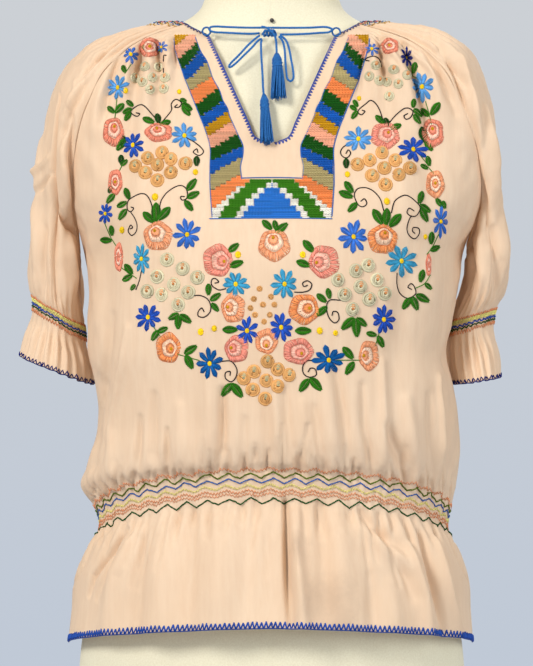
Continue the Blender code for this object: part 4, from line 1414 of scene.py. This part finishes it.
# (dye, x, z, width, height, middle x, middle z)
ROSES = (
    ("coral", -110, 643, 19, 19, -110, 643), ("coral", -142, 566, 19, 26, -141, 571),
    ("coral", -101, 565, 25, 17, -103, 569), ("coral", -140, 521, 13, 23, -140, 521),
    ("peach", -101, 472, 26, 26, -104, 477), ("coral", -137, 454, 8, 26, -137, 454),
    ("pink", -48, 450, 26, 29, -42, 449), ("peach", -34, 408, 21, 26, -39, 409),
    ("orange", -92, 373, 22, 27, -89, 372), ("pink", -31, 372, 21, 24, -36, 373),
    ("peach", 2, 463, 28, 28, 1, 470), ("peach", -5, 379, 20, 22, -5, 375),
    ("coral", 106, 644, 16, 15, 106, 644), ("coral", 144, 565, 20, 26, 144, 569),
    ("pink", 101, 562, 26, 24, 104, 565), ("peach", 146, 519, 17, 25, 146, 520),
    ("orange", 98, 469, 27, 26, 100, 475), ("coral", 140, 447, 5, 20, 140, 447),
    ("pink", 46, 449, 27, 29, 39, 448), ("orange", 28, 407, 27, 27, 33, 408),
    ("peach", 86, 366, 18, 27, 81, 366), ("pink", 23, 370, 27, 23, 26, 368),
)


def daisy(work, dye, x, z, width, height, petals):
    draw = work.draw
    start = draw.uniform(0, 2 * math.pi)
    for p in range(petals):
        turn = start + 2 * math.pi * p / petals + draw.uniform(-0.08, 0.08)
        reach = draw.uniform(0.92, 1.14)
        t = np.linspace(0.12, 1, 6)
        lanes = np.linspace(-1, 1, 5)
        swell = np.array([0.3, 0.5, 0.8, 1.0, 1.0, 0.5])
        out = t[None] * reach * (1 - 0.09 * np.abs(lanes[:, None]) * t[None] ** 3)
        aside = lanes[:, None] * swell[None] * 0.15
        px = x + (np.cos(turn) * out - np.sin(turn) * aside) * width / 2
        pz = z + (np.sin(turn) * out + np.cos(turn) * aside) * height / 2
        lift = 0.3 + 0.5 * np.array([0.2, 0.7, 1.0, 1.0, 0.7, 0.0])[None] * (1 - 0.5 * lanes[:, None] ** 2)
        points, normals = on_front(px, pz, 0)
        points = points + normals * lift[..., None]
        # painted light and shade: each petal's middle lane lighter and its outer lanes darker
        shade = DYES[dye] * np.array([0.85, 1.0, 1.2, 1.0, 0.85])[:, None]
        work.add(points, normals, 0.42 * (width + height) / 45, shade)
    knot_spot(work, x, z, 1.9 * min(1, width / 18), "yellow")


def knot_spot(work, x, z, radius, dye, lift=0.9):
    """A small raised spot: a few loops, each inside the last."""
    for k, part in enumerate((0.9, 0.35)):
        turn = np.linspace(0, 2 * math.pi, 9)
        points, normals = on_front(
            x + np.cos(turn) * radius * part * 0.75, z + np.sin(turn) * radius * part,
            lift + 0.3 * k,
        )
        work.add(points, normals, radius * 0.42, DYES[dye], blunt=1)


def rose(work, dye, x, z, width, height, mx, mz):
    draw = work.draw
    wide, tall = width / 2, height / 2
    lobes = draw.uniform(0, 6.28)
    count = int(22 + 1.0 * (width + height))

    def ring(inner, outer, many, shade, lift, radius, lobed=1.0):
        turn = np.linspace(0, 2 * math.pi, many, endpoint=False) + draw.uniform(-0.05, 0.05, many)
        edge = 1 + lobed * 0.05 * np.cos(5 * turn + lobes)
        t = np.linspace(0, 1, 4)
        out = inner + (outer - inner) * t[None] * draw.uniform(0.86, 1.0, (many, 1))
        shift = 1 - out
        px = x + np.cos(turn)[:, None] * out * wide * edge[:, None] + (mx - x) * np.clip(shift, 0, 1)
        pz = z + np.sin(turn)[:, None] * out * tall * edge[:, None] + (mz - z) * np.clip(shift, 0, 1)
        points, normals = on_front(px, pz, lift)
        work.add(points, normals, radius, shade)

    ring(0.60, 1.0, count, DYES[dye], 0.4, 0.66)
    ring(0.30, 0.60, count // 2, DYES[dye + "_pale"], 0.4, 0.75, 0.6)
    ring(0.06, 0.32, count // 3, DYES[dye], 0.5, 0.6, 0.3)
    for part, raised, thick in ((0.62, 0.7, 0.3), (0.33, 0.75, 0.32), (0.98, 0.4, 0.26)):
        turn = np.linspace(0.3, 2 * math.pi * 0.97, 26)
        edge = 1 + 0.05 * np.cos(5 * turn + lobes)
        px = x + np.cos(turn) * part * wide * edge + (mx - x) * (1 - part)
        pz = z + np.sin(turn) * part * tall * edge + (mz - z) * (1 - part)
        points, normals = on_front(px, pz, raised)
        work.add(points, normals, thick, DYES[dye + "_line"])
    # folds of the outer petals
    for turn in np.array([0.5, 1.8, 3.1, 4.3, 5.5]) + draw.uniform(-0.2, 0.2, 5):
        t = np.linspace(0.62, 0.97, 4)
        points, normals = on_front(
            x + np.cos(turn + 0.25 * t) * t * wide + (mx - x) * (1 - t),
            z + np.sin(turn + 0.25 * t) * t * tall + (mz - z) * (1 - t), 0.7,
        )
        work.add(points, normals, 0.33, DYES[dye + "_line"])
    if min(width, height) > 9:
        knot_spot(work, mx, mz, 1.3, "gold", 1.1)


# Leaves, each from its foot to its tip: (x, z, x, z)
LEAVES = (
    (-134, 626, -131, 619), (-147, 589, -141, 583), (-133, 591, -141, 583), (-130, 594, -124, 589),
    (-126, 587, -134, 583), (-127, 584, -132, 576), (-82, 595, -76, 593), (-80, 591, -71, 585),
    (-80, 589, -73, 580), (-117, 645, -114, 641), (-102, 642, -100, 639), (-132, 559, -139, 549),
    (-115, 578, -105, 574), (-91, 575, -101, 572), (-135, 536, -129, 541), (-141, 510, -148, 502),
    (-131, 515, -127, 505), (-138, 499, -129, 503), (-130, 496, -137, 487), (-75, 513, -67, 523),
    (-75, 506, -64, 511), (-77, 503, -70, 494), (-103, 501, -103, 484), (-114, 493, -105, 484),
    (-91, 497, -101, 486), (-144, 482, -143, 473), (-154, 470, -143, 469), (-131, 447, -124, 438),
    (-133, 433, -124, 438), (-122, 429, -126, 424), (-38, 458, -29, 465), (-37, 445, -25, 449),
    (-56, 429, -56, 419), (-54, 415, -45, 421), (-53, 412, -47, 405), (-83, 403, -92, 398),
    (-81, 402, -71, 395), (-83, 401, -83, 389), (-101, 387, -92, 391), (-101, 388, -107, 379),
    (-43, 389, -30, 389), (-77, 368, -66, 375), (-76, 366, -70, 354), (-36, 341, -45, 330),
    (-35, 341, -26, 329), (2, 485, 4, 476), (4, 475, 14, 483), (-8, 485, 0, 477),
    (129, 629, 127, 619), (123, 619, 127, 618), (134, 587, 141, 580), (150, 592, 142, 581),
    (127, 595, 126, 587), (127, 586, 135, 580), (127, 581, 133, 573), (73, 594, 77, 588),
    (70, 589, 76, 585), (76, 584, 71, 577), (93, 580, 100, 573), (115, 572, 105, 568),
    (137, 557, 144, 549), (139, 544, 141, 535), (133, 536, 140, 533), (147, 506, 152, 499),
    (153, 504, 155, 497), (65, 520, 72, 510), (60, 511, 72, 506), (75, 501, 67, 493),
    (134, 512, 131, 501), (132, 500, 142, 494), (133, 496, 139, 485), (90, 495, 98, 482),
    (102, 496, 101, 481), (114, 491, 104, 480), (143, 476, 142, 465), (142, 460, 151, 464),
    (135, 442, 132, 431), (137, 430, 143, 425), (123, 417, 116, 407), (125, 418, 130, 406),
    (129, 420, 141, 414), (28, 467, 37, 457), (22, 449, 34, 445), (49, 425, 51, 416),
    (40, 420, 48, 413), (48, 409, 39, 401), (72, 399, 61, 389), (74, 398, 75, 382),
    (75, 399, 84, 392), (84, 386, 93, 384), (94, 383, 99, 373), (21, 388, 35, 388),
    (63, 373, 72, 363), (72, 360, 65, 349), (32, 345, 24, 334), (34, 346, 44, 335),
)
DARK_LEAVES = (
    (-103, 582, -101, 573), (-67, 543, -67, 534), (-134, 553, -133, 563), (-135, 545, -135, 537),
    (101, 578, 104, 570), (66, 541, 66, 532), (134, 570, 137, 556), (-143, 517, -146, 511),
)


def leaf(work, foot_x, foot_z, tip_x, tip_z, dye, fullness=0.4):
    foot, tip = np.array((foot_x, foot_z), float), np.array((tip_x, tip_z), float)
    length = np.linalg.norm(tip - foot)
    ahead = (tip - foot) / length
    across = np.array((ahead[1], -ahead[0]))
    count = max(4, round(length / 0.75))
    t = (np.arange(count) + 0.5) / count
    half = length * fullness * 0.55 * np.sin(math.pi * t**0.8) ** 0.75 + 0.7
    for sign in (-1, 1):
        s = np.linspace(0, 1, 3)
        along = (t[:, None] - 0.08 * (1 - s)) * length
        run = foot + ahead * along[..., None] + across * (sign * s * half[:, None])[..., None]
        points, normals = on_front(run[..., 0], run[..., 1], 0.5)
        # painted light and shade: the same green lighter on one half of each leaf and darker on the other
        shade = DYES[dye] * (1.12 if sign > 0 else 0.85)
        work.add(points, normals, 0.5, shade)


BERRIES = {
    "tan": (
        11.4, "tan", (-98, 547), (-111, 542), (-122, 535), (-90, 541), (-102, 536), (-113, 529),
        (-77, 537), (-90, 529), (-102, 522), (98, 547), (87, 540), (76, 536), (110, 540), (100, 533),
        (89, 526), (123, 533), (113, 527), (101, 518),
    ),
    "grey": (
        11.8, "grey", (-93, 451), (-79, 443), (-102, 436), (-66, 435), (-87, 429), (-111, 423),
        (-98, 420), (-74, 422), (-83, 411), (85, 446), (74, 441), (93, 433), (58, 433), (78, 427),
        (64, 420), (100, 421), (86, 416), (71, 407),
    ),
    "top": (
        8.4, "grey", (-114, 625), (-102, 625), (-123, 615), (-116, 611), (-107, 615), (-96, 615),
        (-109, 604), (-97, 605), (93, 626), (87, 616), (109, 622), (96, 612), (103, 611), (121, 617),
        (113, 609), (105, 598),
    ),
    "brown": (
        11.4, "tan", (-25, 346), (-16, 352), (-17, 336), (-4, 361), (-5, 344), (-6, 328), (5, 354),
        (15, 349), (5, 339),
    ),
    "small": (
        4.6, "tan", (-11, 425), (-16, 416), (-1, 418), (-19, 408), (-8, 411), (-15, 402), (-2, 402),
        (-7, 396), (2, 411),
    ),
}


def berry(work, x, z, size, dye):
    draw = work.draw
    for k, part in enumerate((0.9, 0.62, 0.36)):
        if size < 6 and k == 1:
            continue
        start = draw.uniform(0, 6.28)
        turn = start + np.linspace(0, 2 * math.pi * 0.98, 15)
        squeeze = draw.uniform(0.9, 1.05)
        points, normals = on_front(
            x + np.cos(turn) * part * size / 2 * squeeze, z + np.sin(turn) * part * size / 2, 0.35 + 0.25 * k,
        )
        shade = DYES[dye] * (1.0, 0.88, 1.05)[k]
        work.add(points, normals, size * 0.14, shade, blunt=0.9)
    if size > 8:
        for part in (0.5, 0.78):
            turn = start + np.linspace(0.4, 2 * math.pi * 0.8, 14)
            points, normals = on_front(
                x + np.cos(turn) * part * size / 2, z + np.sin(turn) * part * size / 2, 1.25 - part * 0.6,
            )
            work.add(points, normals, 0.28, DYES[dye + "_line"])
        knot_spot(work, x + 0.4, z + size * 0.18, size * 0.19, dye + "_middle", 1.2)


YELLOW_DOTS = (
    (-131, 603, 2.2), (-83, 602, 1.9), (-68, 529, 2.3), (-104, 507, 2.8), (-134, 478, 2.5),
    (-30, 455, 2.6), (-63, 387, 2.6), (-51, 390, 2.3), (78, 596, 1.9), (67, 527, 2.3),
    (102, 503, 2.6), (137, 472, 1.9), (27, 455, 2.5), (42, 388, 2.6), (56, 386, 2.1),
)
TENDRILS = (
    ((-105, 579), (-116, 590), (-126, 586), (-126, 583), (-121, 580), (-118, 582), (-121, 583)),
    ((-97, 576), (-90, 585), (-90, 591), (-86, 595), (-81, 592), (-83, 588), (-87, 588), (-85, 590)),
    ((-76, 560), (-69, 556), (-63, 551), (-61, 547), (-65, 544), (-70, 547), (-67, 550), (-66, 547)),
    ((-106, 489), (-107, 500), (-111, 508), (-116, 510), (-122, 508), (-128, 504), (-129, 497),
     (-126, 494), (-123, 497), (-125, 498)),
    ((-126, 494), (-122, 488), (-120, 482), (-121, 476), (-125, 473), (-128, 477), (-126, 482),
     (-124, 480), (-126, 479)),
    ((-100, 492), (-99, 502), (-95, 509), (-89, 514), (-82, 517), (-77, 515), (-75, 510), (-76, 505),
     (-80, 504), (-81, 507), (-78, 507)),
    ((-116, 442), (-118, 433), (-121, 425)),
    ((-41, 425), (-47, 424), (-53, 428), (-53, 433), (-50, 434), (-47, 431), (-50, 430)),
    ((-69, 419), (-63, 419), (-57, 416), (-54, 410), (-55, 404), (-60, 400), (-65, 401), (-65, 405),
     (-62, 408), (-60, 405)),
    ((-45, 361), (-36, 361), (-31, 354), (-32, 347), (-36, 343), (-41, 346), (-41, 351), (-37, 352),
     (-37, 349)),
    ((105, 574), (110, 580), (117, 586), (122, 587), (126, 584), (124, 579), (120, 577), (118, 580),
     (121, 582)),
    ((99, 577), (96, 586), (92, 592), (88, 594), (84, 591), (78, 586), (77, 583), (80, 581), (83, 584),
     (81, 585)),
    ((87, 630), (84, 631), (86, 633), (91, 634), (96, 632), (98, 626)),
    ((72, 556), (64, 552), (61, 547), (63, 543), (67, 542), (70, 546), (68, 549), (66, 546)),
    ((99, 495), (96, 505), (90, 512), (83, 515), (76, 514), (73, 509), (74, 504), (77, 499), (81, 498),
     (84, 501), (82, 505), (79, 503)),
    ((106, 493), (109, 503), (116, 508), (121, 508), (127, 504), (132, 498), (129, 491), (124, 490),
     (120, 493), (122, 497), (126, 495)),
    ((124, 490), (122, 487), (120, 479), (122, 473), (127, 470), (131, 474), (131, 479), (126, 480),
     (125, 477), (127, 475)),
    ((111, 439), (111, 429), (114, 421), (121, 417), (128, 421), (127, 427), (124, 430), (121, 427),
     (124, 425)),
    ((20, 422), (27, 422), (33, 424), (35, 429), (31, 432), (27, 430), (28, 427), (31, 428)),
    ((60, 415), (51, 415), (48, 409), (50, 400), (55, 395), (59, 398), (58, 404), (54, 405), (53, 402)),
    ((35, 362), (30, 361), (27, 356), (28, 350), (33, 347), (39, 349), (38, 354), (34, 355), (32, 352)),
    ((-97, 630), (-97, 635), (-95, 635)),
    ((-97, 623), (-97, 619)),
)
STEMS = (
    ((-139, 595), (-141, 576)), ((-127, 626), (-131, 619)), ((-136, 532), (-134, 536)),
    ((-150, 485), (-145, 473), (-140, 465)), ((-134, 444), (-121, 435)), ((-107, 394), (-99, 383)),
    ((-83, 367), (-65, 362)), ((138, 593), (141, 582), (143, 573)), ((121, 625), (126, 618), (131, 615)),
    ((133, 544), (138, 538)), ((141, 533), (146, 527)), ((149, 474), (144, 464), (139, 457)),
    ((141, 437), (136, 430), (128, 426)), ((96, 390), (92, 376)), ((58, 362), (77, 362)),
)

band = Needlework(11)
neck_band(band)
band.finish("embroidery_band")

flowers = Needlework(12)
for row in DAISIES:
    daisy(flowers, *row)
for row in ROSES:
    rose(flowers, *row)
flowers.finish("embroidery_flowers")

greens = Needlework(13)
for row in STEMS:
    stitch_run(greens, row, DYES["leaf"], 2.4, 0.45)
for row in TENDRILS:
    stitch_run(greens, row, DYES["stem"], 1.4, 0.62, 0.2)
for row in LEAVES:
    leaf(greens, *row, "leaf")
for row in DARK_LEAVES:
    leaf(greens, *row, "dark_leaf", 0.48)
for size, dye, *places in BERRIES.values():
    for x, z in places:
        berry(greens, x, z, size, dye)
for x, z, radius in YELLOW_DOTS:
    knot_spot(greens, x, z, radius, "yellow", 0.6)
greens.finish("embroidery_leaves")

# ---------------------------------------------------------------- rows of stitches


def row_at_height(panel, cols, heights):
    """Rows at which a panel reaches these heights, in these columns."""
    near = np.clip(np.round(cols).astype(int), 0, panel.grid.shape[1] - 1)
    rows = np.arange(panel.grid.shape[0])
    return np.array([
        np.interp(-z, np.maximum.accumulate(-panel.grid[:, j, 2]), rows) for z, j in zip(heights, near)
    ])


def run_along(panel, row):
    """Distances along the panel's row from its first column."""
    line = panel.grid[row]
    return np.concatenate([[0], np.cumsum(np.linalg.norm(np.diff(line, axis=0), axis=1))])


def zigzag(work, panel, height_of, period, swing, shade, radius, row, wave=0.0, lift=0.5, parts=1):
    """A zigzag of stitches round a panel at the heights that height_of gives. wave is how
    far a small zigzag follows the large ones beside it; parts are the stitches in a leg."""
    run = run_along(panel, row)
    count = int(run[-1] / (period / 2))
    at = np.arange(count + 1) * run[-1] / count
    cols = np.interp(at, run, np.arange(len(run)))
    up = swing * np.where(np.arange(count + 1) % 2 == 0, 1, -1) * work.draw.uniform(0.75, 1.2, count + 1)
    follow = 2 * np.abs((at / WAVE_PERIOD) % 1 - 0.5) * 2 - 1
    heights = height_of(cols) + up + wave * follow
    rows = row_at_height(panel, cols, heights)
    a = np.stack([rows, cols], axis=1)
    for k in range(parts):
        t = np.linspace(k / parts - 0.04, (k + 1) / parts + 0.04, 3)
        runs = a[:-1, None] + (a[1:, None] - a[:-1, None]) * t[None, :, None]
        points, normals = panel.at(runs[..., 0], runs[..., 1])
        points[..., 2] += work.draw.uniform(-0.35, 0.35, (count, 1)) * (parts > 1)
        work.add(points + normals * lift, normals, radius, shade, blunt=0.6)


WAVE_PERIOD = 20.0
WAIST_ROWS = (
    # dye, height below the band's top line, zigzag period, swing, thickness, wave, parts
    ("waist_orange", 3.5, 2.9, 1.3, 0.34, 1.7, 1), ("olive", 8.5, 20, 2.6, 0.78, 0, 3),
    ("waist_blue", 13.5, 20, 2.4, 0.72, 0, 3), ("pale_yellow", 18.5, 2.5, 1.2, 0.36, 2.0, 1),
    ("waist_orange", 23.0, 2.9, 1.2, 0.34, 1.6, 1), ("waist_orange", 26.0, 3.1, 1.1, 0.3, 1.4, 1),
    ("forest", 31.5, 20, 2.9, 0.75, 0, 3),
)
LINE_PARTS = ((0, 0), (0.2, 0.05), (0.4, 0.19), (0.62, 0.45), (0.8, 0.72), (1, 1))


def waist_rows(work, panel):
    row = int(np.argmax(BODY_LEVELS <= 218))
    cols_in_all = panel.grid.shape[1] - 1
    middle = 269.0 if panel is FRONT else 259.0

    def line(cols, below):
        """The band's line, higher at the middle than at the sides."""
        part = np.abs(2 * cols / cols_in_all - 1)
        drop = np.interp(part, *zip(*LINE_PARTS))
        return middle - below - (middle - 229 - 0.05 * below) * drop

    for dye, below, period, swing, thick, wave, parts in WAIST_ROWS:
        zigzag(
            work, panel, lambda cols, below=below: line(cols, below), period, swing,
            DYES[dye], thick, row, wave=wave, lift=0.75, parts=parts,
        )


waist = Needlework(14)
waist_rows(waist, FRONT)
waist_rows(waist, BACK)
waist.finish("smocking_waist")

CUFF_ROWS = (
    ("waist_orange", 6.5, 3, 1.3, 0.4), ("pale_yellow", 4.4, 2.4, 1.1, 0.5),
    ("pale_yellow", 2.6, 2.6, 1.1, 0.5), ("hem_blue", -0.2, 6, 0.9, 0.8),
    ("forest", -2.9, 6, 0.8, 0.7), ("waist_orange", -6.2, 3.2, 1.8, 0.36),
)
cuffs = Needlework(15)
for side, panel in SLEEVE.items():
    row = int(np.argmax(SLEEVE_LEVELS <= CUFF[side]))
    heights = panel.grid[row, :, 2]
    for dye, up, period, swing, thick in CUFF_ROWS:
        zigzag(
            cuffs, panel, lambda cols, up=up: np.interp(cols, np.arange(len(heights)), heights) + up,
            period, swing, DYES[dye], thick, row, lift=0.7, parts=3 if period > 5 else 1,
        )
cuffs.finish("smocking_cuffs")


def blanket(work, panel, row, spacing, length, upward, shade, edge_shade, radius, span=None, lean=1.0):
    """Blanket stitch on a panel's edge: teeth of two strands that meet, and a line."""
    run = run_along(panel, row)
    start, end = span or (0, run[-1])
    count = max(2, int((end - start) / spacing))
    at = start + (np.arange(count) + 0.5) * (end - start) / count
    for shift in (-0.42, 0.42):
        foot = np.interp(at + shift * spacing, run, np.arange(len(run)))
        tip = np.interp(at + 0.1 * lean * spacing, run, np.arange(len(run)))
        reach = length * work.draw.uniform(0.85, 1.1, count)
        local = panel.depth[:, np.round(tip).astype(int)]
        edge = np.round(np.full(count, row if row >= 0 else panel.grid.shape[0] - 1)).astype(int)
        t = np.linspace(0, 1, 4)[None]
        deep = local[edge, np.arange(count)][:, None] + upward * t * reach[:, None]
        rows = np.array([
            np.interp(deep[k], local[:, k], np.arange(len(local))) for k in range(count)
        ])
        cols = foot[:, None] + (tip - foot)[:, None] * t
        points, normals = panel.at(rows, cols)
        work.add(points + normals * 0.35, normals, radius, shade, blunt=0.8)
    cols = np.interp(np.arange(start, end, 1.6), run, np.arange(len(run)))
    rows = np.full(len(cols), float(row if row >= 0 else panel.grid.shape[0] - 1))
    points, normals = panel.at(rows, cols)
    out = np.array((0, 0, -1.0 if upward < 0 else 1.0)) * 0.3
    work.add(points + out - normals * 0.3, normals, 0.6, edge_shade)


SHOULDER_ROWS = (
    ("salmon", 3.2, 3, 1.2, 0.5), ("forest", 5.6, 5, 1.1, 0.6), ("waist_blue", 8.0, 5, 1.1, 0.6),
    ("white", 9.8, 4, 1.0, 0.45), ("gold", 11.8, 4, 1.2, 0.45),
)
shoulders = Needlework(17)
for side, panel in SLEEVE.items():
    last = panel.grid.shape[1] - 1
    ends = (0, last * 0.5) if side == "right" else (last * 0.5, last)
    for dye, below, period, swing, thick in SHOULDER_ROWS:
        run = run_along(panel, 4)
        start, end = np.interp(ends, np.arange(last + 1), run)
        count = int((end - start) / period * 2)
        cols = np.interp(np.linspace(start, end, count + 1), run, np.arange(last + 1))
        rows = panel.below_top(cols, below + swing * np.where(np.arange(count + 1) % 2, 1, -1))
        t = np.linspace(0, 1, 3)[None]
        points, normals = panel.at(
            rows[:-1, None] + np.diff(rows)[:, None] * t, cols[:-1, None] + np.diff(cols)[:, None] * t,
        )
        shoulders.add(points + normals * 0.6, normals, thick, DYES[dye])
shoulders.finish("smocking_shoulders")

edges = Needlework(16)
for panel in (FRONT, BACK):
    blanket(edges, panel, -1, 4.1, 5.4, -1, DYES["hem_blue"], DYES["hem_blue"], 0.8)
for panel in SLEEVE.values():
    blanket(edges, panel, -1, 4.4, 3.4, -1, DYES["hem_navy"], DYES["hem_navy"], 0.5)
for panel in (BACK, *SLEEVE.values()):
    blanket(edges, panel, 0, 3.5, 3.2, 1, DYES["edge_navy"], DYES["outline"], 0.5)
front_top = run_along(FRONT, 0)
for first, last in ((0, HALF_COLUMNS), (HALF_COLUMNS + 1, 2 * HALF_COLUMNS + 1)):
    blanket(edges, FRONT, 0, 3.5, 3.2, 1, DYES["edge_navy"], DYES["outline"], 0.5,
            span=(front_top[first], front_top[last]))


def slit_stitches(work):
    """Teeth down both edges of the neck slit, joined by a line along the edge."""
    top, middle = FRONT.seam
    for col, inward in ((middle - 1, -1), (middle, 1)):
        line = FRONT.grid[:top + 1, col]
        facing = FRONT.normals[:top + 1, col]
        run = np.concatenate([[0], np.cumsum(np.linalg.norm(np.diff(line, axis=0), axis=1))])
        at = np.arange(2, run[-1] - 1, 3.0)
        base = np.stack([np.interp(at, run, line[:, k]) for k in range(3)], axis=1)
        out = np.stack([np.interp(at, run, facing[:, k]) for k in range(3)], axis=1)
        out /= np.linalg.norm(out, axis=1, keepdims=True)
        ahead = np.gradient(base, axis=0)
        ahead /= np.linalg.norm(ahead, axis=1, keepdims=True)
        into = np.cross(out, ahead)
        into *= np.sign(into[:, :1]) * inward
        t = np.linspace(0, 1, 3)[None, :, None]
        for shift in (-1.2, 0, 1.2):
            feet = base + ahead * shift
            tips = base + into * 3.0
            runs = feet[:, None] + (tips - feet)[:, None] * t + out[:, None] * 0.4
            work.add(runs, np.repeat(out[:, None], 3, axis=1), 0.45, DYES["slit_blue"])
        close = curve_through(line[::6], 1.4)
        normals = np.stack([
            np.interp(np.linspace(0, run[-1], len(close)), run, facing[:, k]) for k in range(3)
        ], axis=1)
        work.add(close, normals, 0.7, DYES["slit_blue"])


slit_stitches(edges)
edges.finish("edge_stitches")

# ---------------------------------------------------------------- dress form

def seam_of_form(rings):
    """A shallow groove down the front, where the form's cover is sewn."""
    x = rings[..., 0]
    on_front = rings[..., 1] < 0
    groove = 0.7 * np.exp(-((x / 1.1) ** 2)) * on_front
    rings = rings.copy()
    rings[..., 1] += groove
    return rings


def form_mesh():
    turn_count = 240
    levels = np.concatenate([np.arange(0, 640, 8.0), np.arange(640, 752.1, 2.5)])
    turn = np.linspace(0, 2 * math.pi, turn_count, endpoint=False)
    # closer together near the seam in the middle
    turn = turn - 0.35 * np.sin(turn) * np.exp(-((np.sin(turn / 2) / 0.6) ** 2))
    half = smooth(FORM["z"], FORM["half_width"], levels)[:, None]
    front = smooth(FORM["z"], FORM["front"], levels)[:, None]
    behind = smooth(FORM["z"], FORM["back"], levels)[:, None]
    depth = np.where(np.cos(turn) > 0, -front, behind)
    x = half * np.sin(turn)
    rings = np.stack([x, depth * np.abs(np.cos(turn)), np.broadcast_to(levels[:, None], x.shape)], axis=-1)
    rings = seam_of_form(rings)
    faces = grid_faces(len(levels), turn_count, wrap=True)
    points = rings.reshape(-1, 3)
    ends = np.array([[0, 0, levels[0]], [0, 0, levels[-1]]])
    j = np.arange(turn_count)
    k = (j + 1) % turn_count
    last = (len(levels) - 1) * turn_count
    triangles = np.concatenate([
        faces[:, [0, 2, 1]], faces[:, [0, 3, 2]],
        np.stack([np.full(turn_count, len(points)), k, j], axis=1),
        np.stack([np.full(turn_count, len(points) + 1), last + j, last + k], axis=1),
    ])
    return mesh_object("form_cover", np.concatenate([points, ends]), triangles, CANVAS)


form = form_mesh()

# ---------------------------------------------------------------- light and surroundings


def area_light(name, place, aim, size, power, tint):
    data = bpy.data.lights.new(name, "AREA")
    data.shape = "RECTANGLE"
    data.size, data.size_y = size
    data.energy = power
    data.color = tint
    lamp = bpy.data.objects.new(name, data)
    lamp.location = place
    lamp.rotation_euler = (Vector(aim) - Vector(place)).to_track_quat("-Z", "Y").to_euler()
    bpy.context.scene.collection.objects.link(lamp)


area_light("key", (-1.9, -2.7, 2.2), (0, 0, 0.4), (0.9, 1.1), 100, (1.0, 0.98, 0.95))
area_light("fill", (2.4, -2.3, 1.3), (0, 0, 0.35), (1.6, 1.8), 46, (0.95, 0.98, 1.0))
area_light("rim", (0.9, 2.2, 1.9), (0, 0, 0.4), (1.4, 1.4), 20, (0.95, 0.98, 1.0))

world = bpy.data.worlds.new("studio")
bpy.context.scene.world = world
world.use_nodes = True
sky = world.node_tree
sky.nodes.clear()
direction = node(sky, "ShaderNodeTexCoord").outputs["Generated"]
height = node(sky, "ShaderNodeSeparateXYZ", (("Vector", direction),)).outputs["Z"]
backdrop = blended(sky, height, -0.09, 0.09, colour(192, 201, 214), colour(204, 208, 213))
ambient = node(sky, "ShaderNodeBackground", (("Color", (*colour(232, 230, 228), 1)), ("Strength", 0.62)))
seen = node(sky, "ShaderNodeBackground", (("Color", backdrop), ("Strength", 1.0)))
ray = node(sky, "ShaderNodeLightPath").outputs["Is Camera Ray"]
either = node(sky, "ShaderNodeMixShader", ((0, ray), (1, ambient.outputs[0]), (2, seen.outputs[0])))
sky_out = node(sky, "ShaderNodeOutputWorld")
sky.links.new(either.outputs[0], sky_out.inputs["Surface"])

FLOOR_RADIUS = 800
floor_finish, floor_tree, floor_shader = material("floor_paint", 0.7)
floor_shade = blended(
    floor_tree, grain(floor_tree, 6), 0.3, 0.7, colour(176, 186, 200), colour(186, 195, 208),
)
floor_tree.links.new(floor_shade, floor_shader.inputs["Base Color"])
floor_turn = np.linspace(0, 2 * math.pi, 97)[:-1]
floor_rim = np.stack([
    FLOOR_RADIUS * np.cos(floor_turn), FLOOR_RADIUS * np.sin(floor_turn), np.full(96, -0.5),
], axis=1)
floor = mesh_object(
    "floor", np.concatenate([[[0, 0, -0.5]], floor_rim]),
    [(0, 1 + j, 1 + (j + 1) % 96) for j in range(96)], floor_finish,
)

# ---------------------------------------------------------------- what each piece is

for shown, node_name in (
    (knot, "bow_knot"), (tassels["tassel_left"], "tassel_left"),
    (tassels["tassel_right"], "tassel_right"), (eyelets["left"], "eyelet_left"),
    (eyelets["right"], "eyelet_right"), *((lace[name], name) for name in lace),
):
    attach(shown, "root")
    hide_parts(node_name)


for name, piece in cloth.items():
    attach(piece, "root")
    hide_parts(name)
for piece in worked:
    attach(piece, "root")
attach(form, "root")
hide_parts("form_torso")
for node_name, finish in (("form_cap", CANVAS), ("form_pin", PIN_STEEL)):
    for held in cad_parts[node_name].material_slots:
        held.material = finish
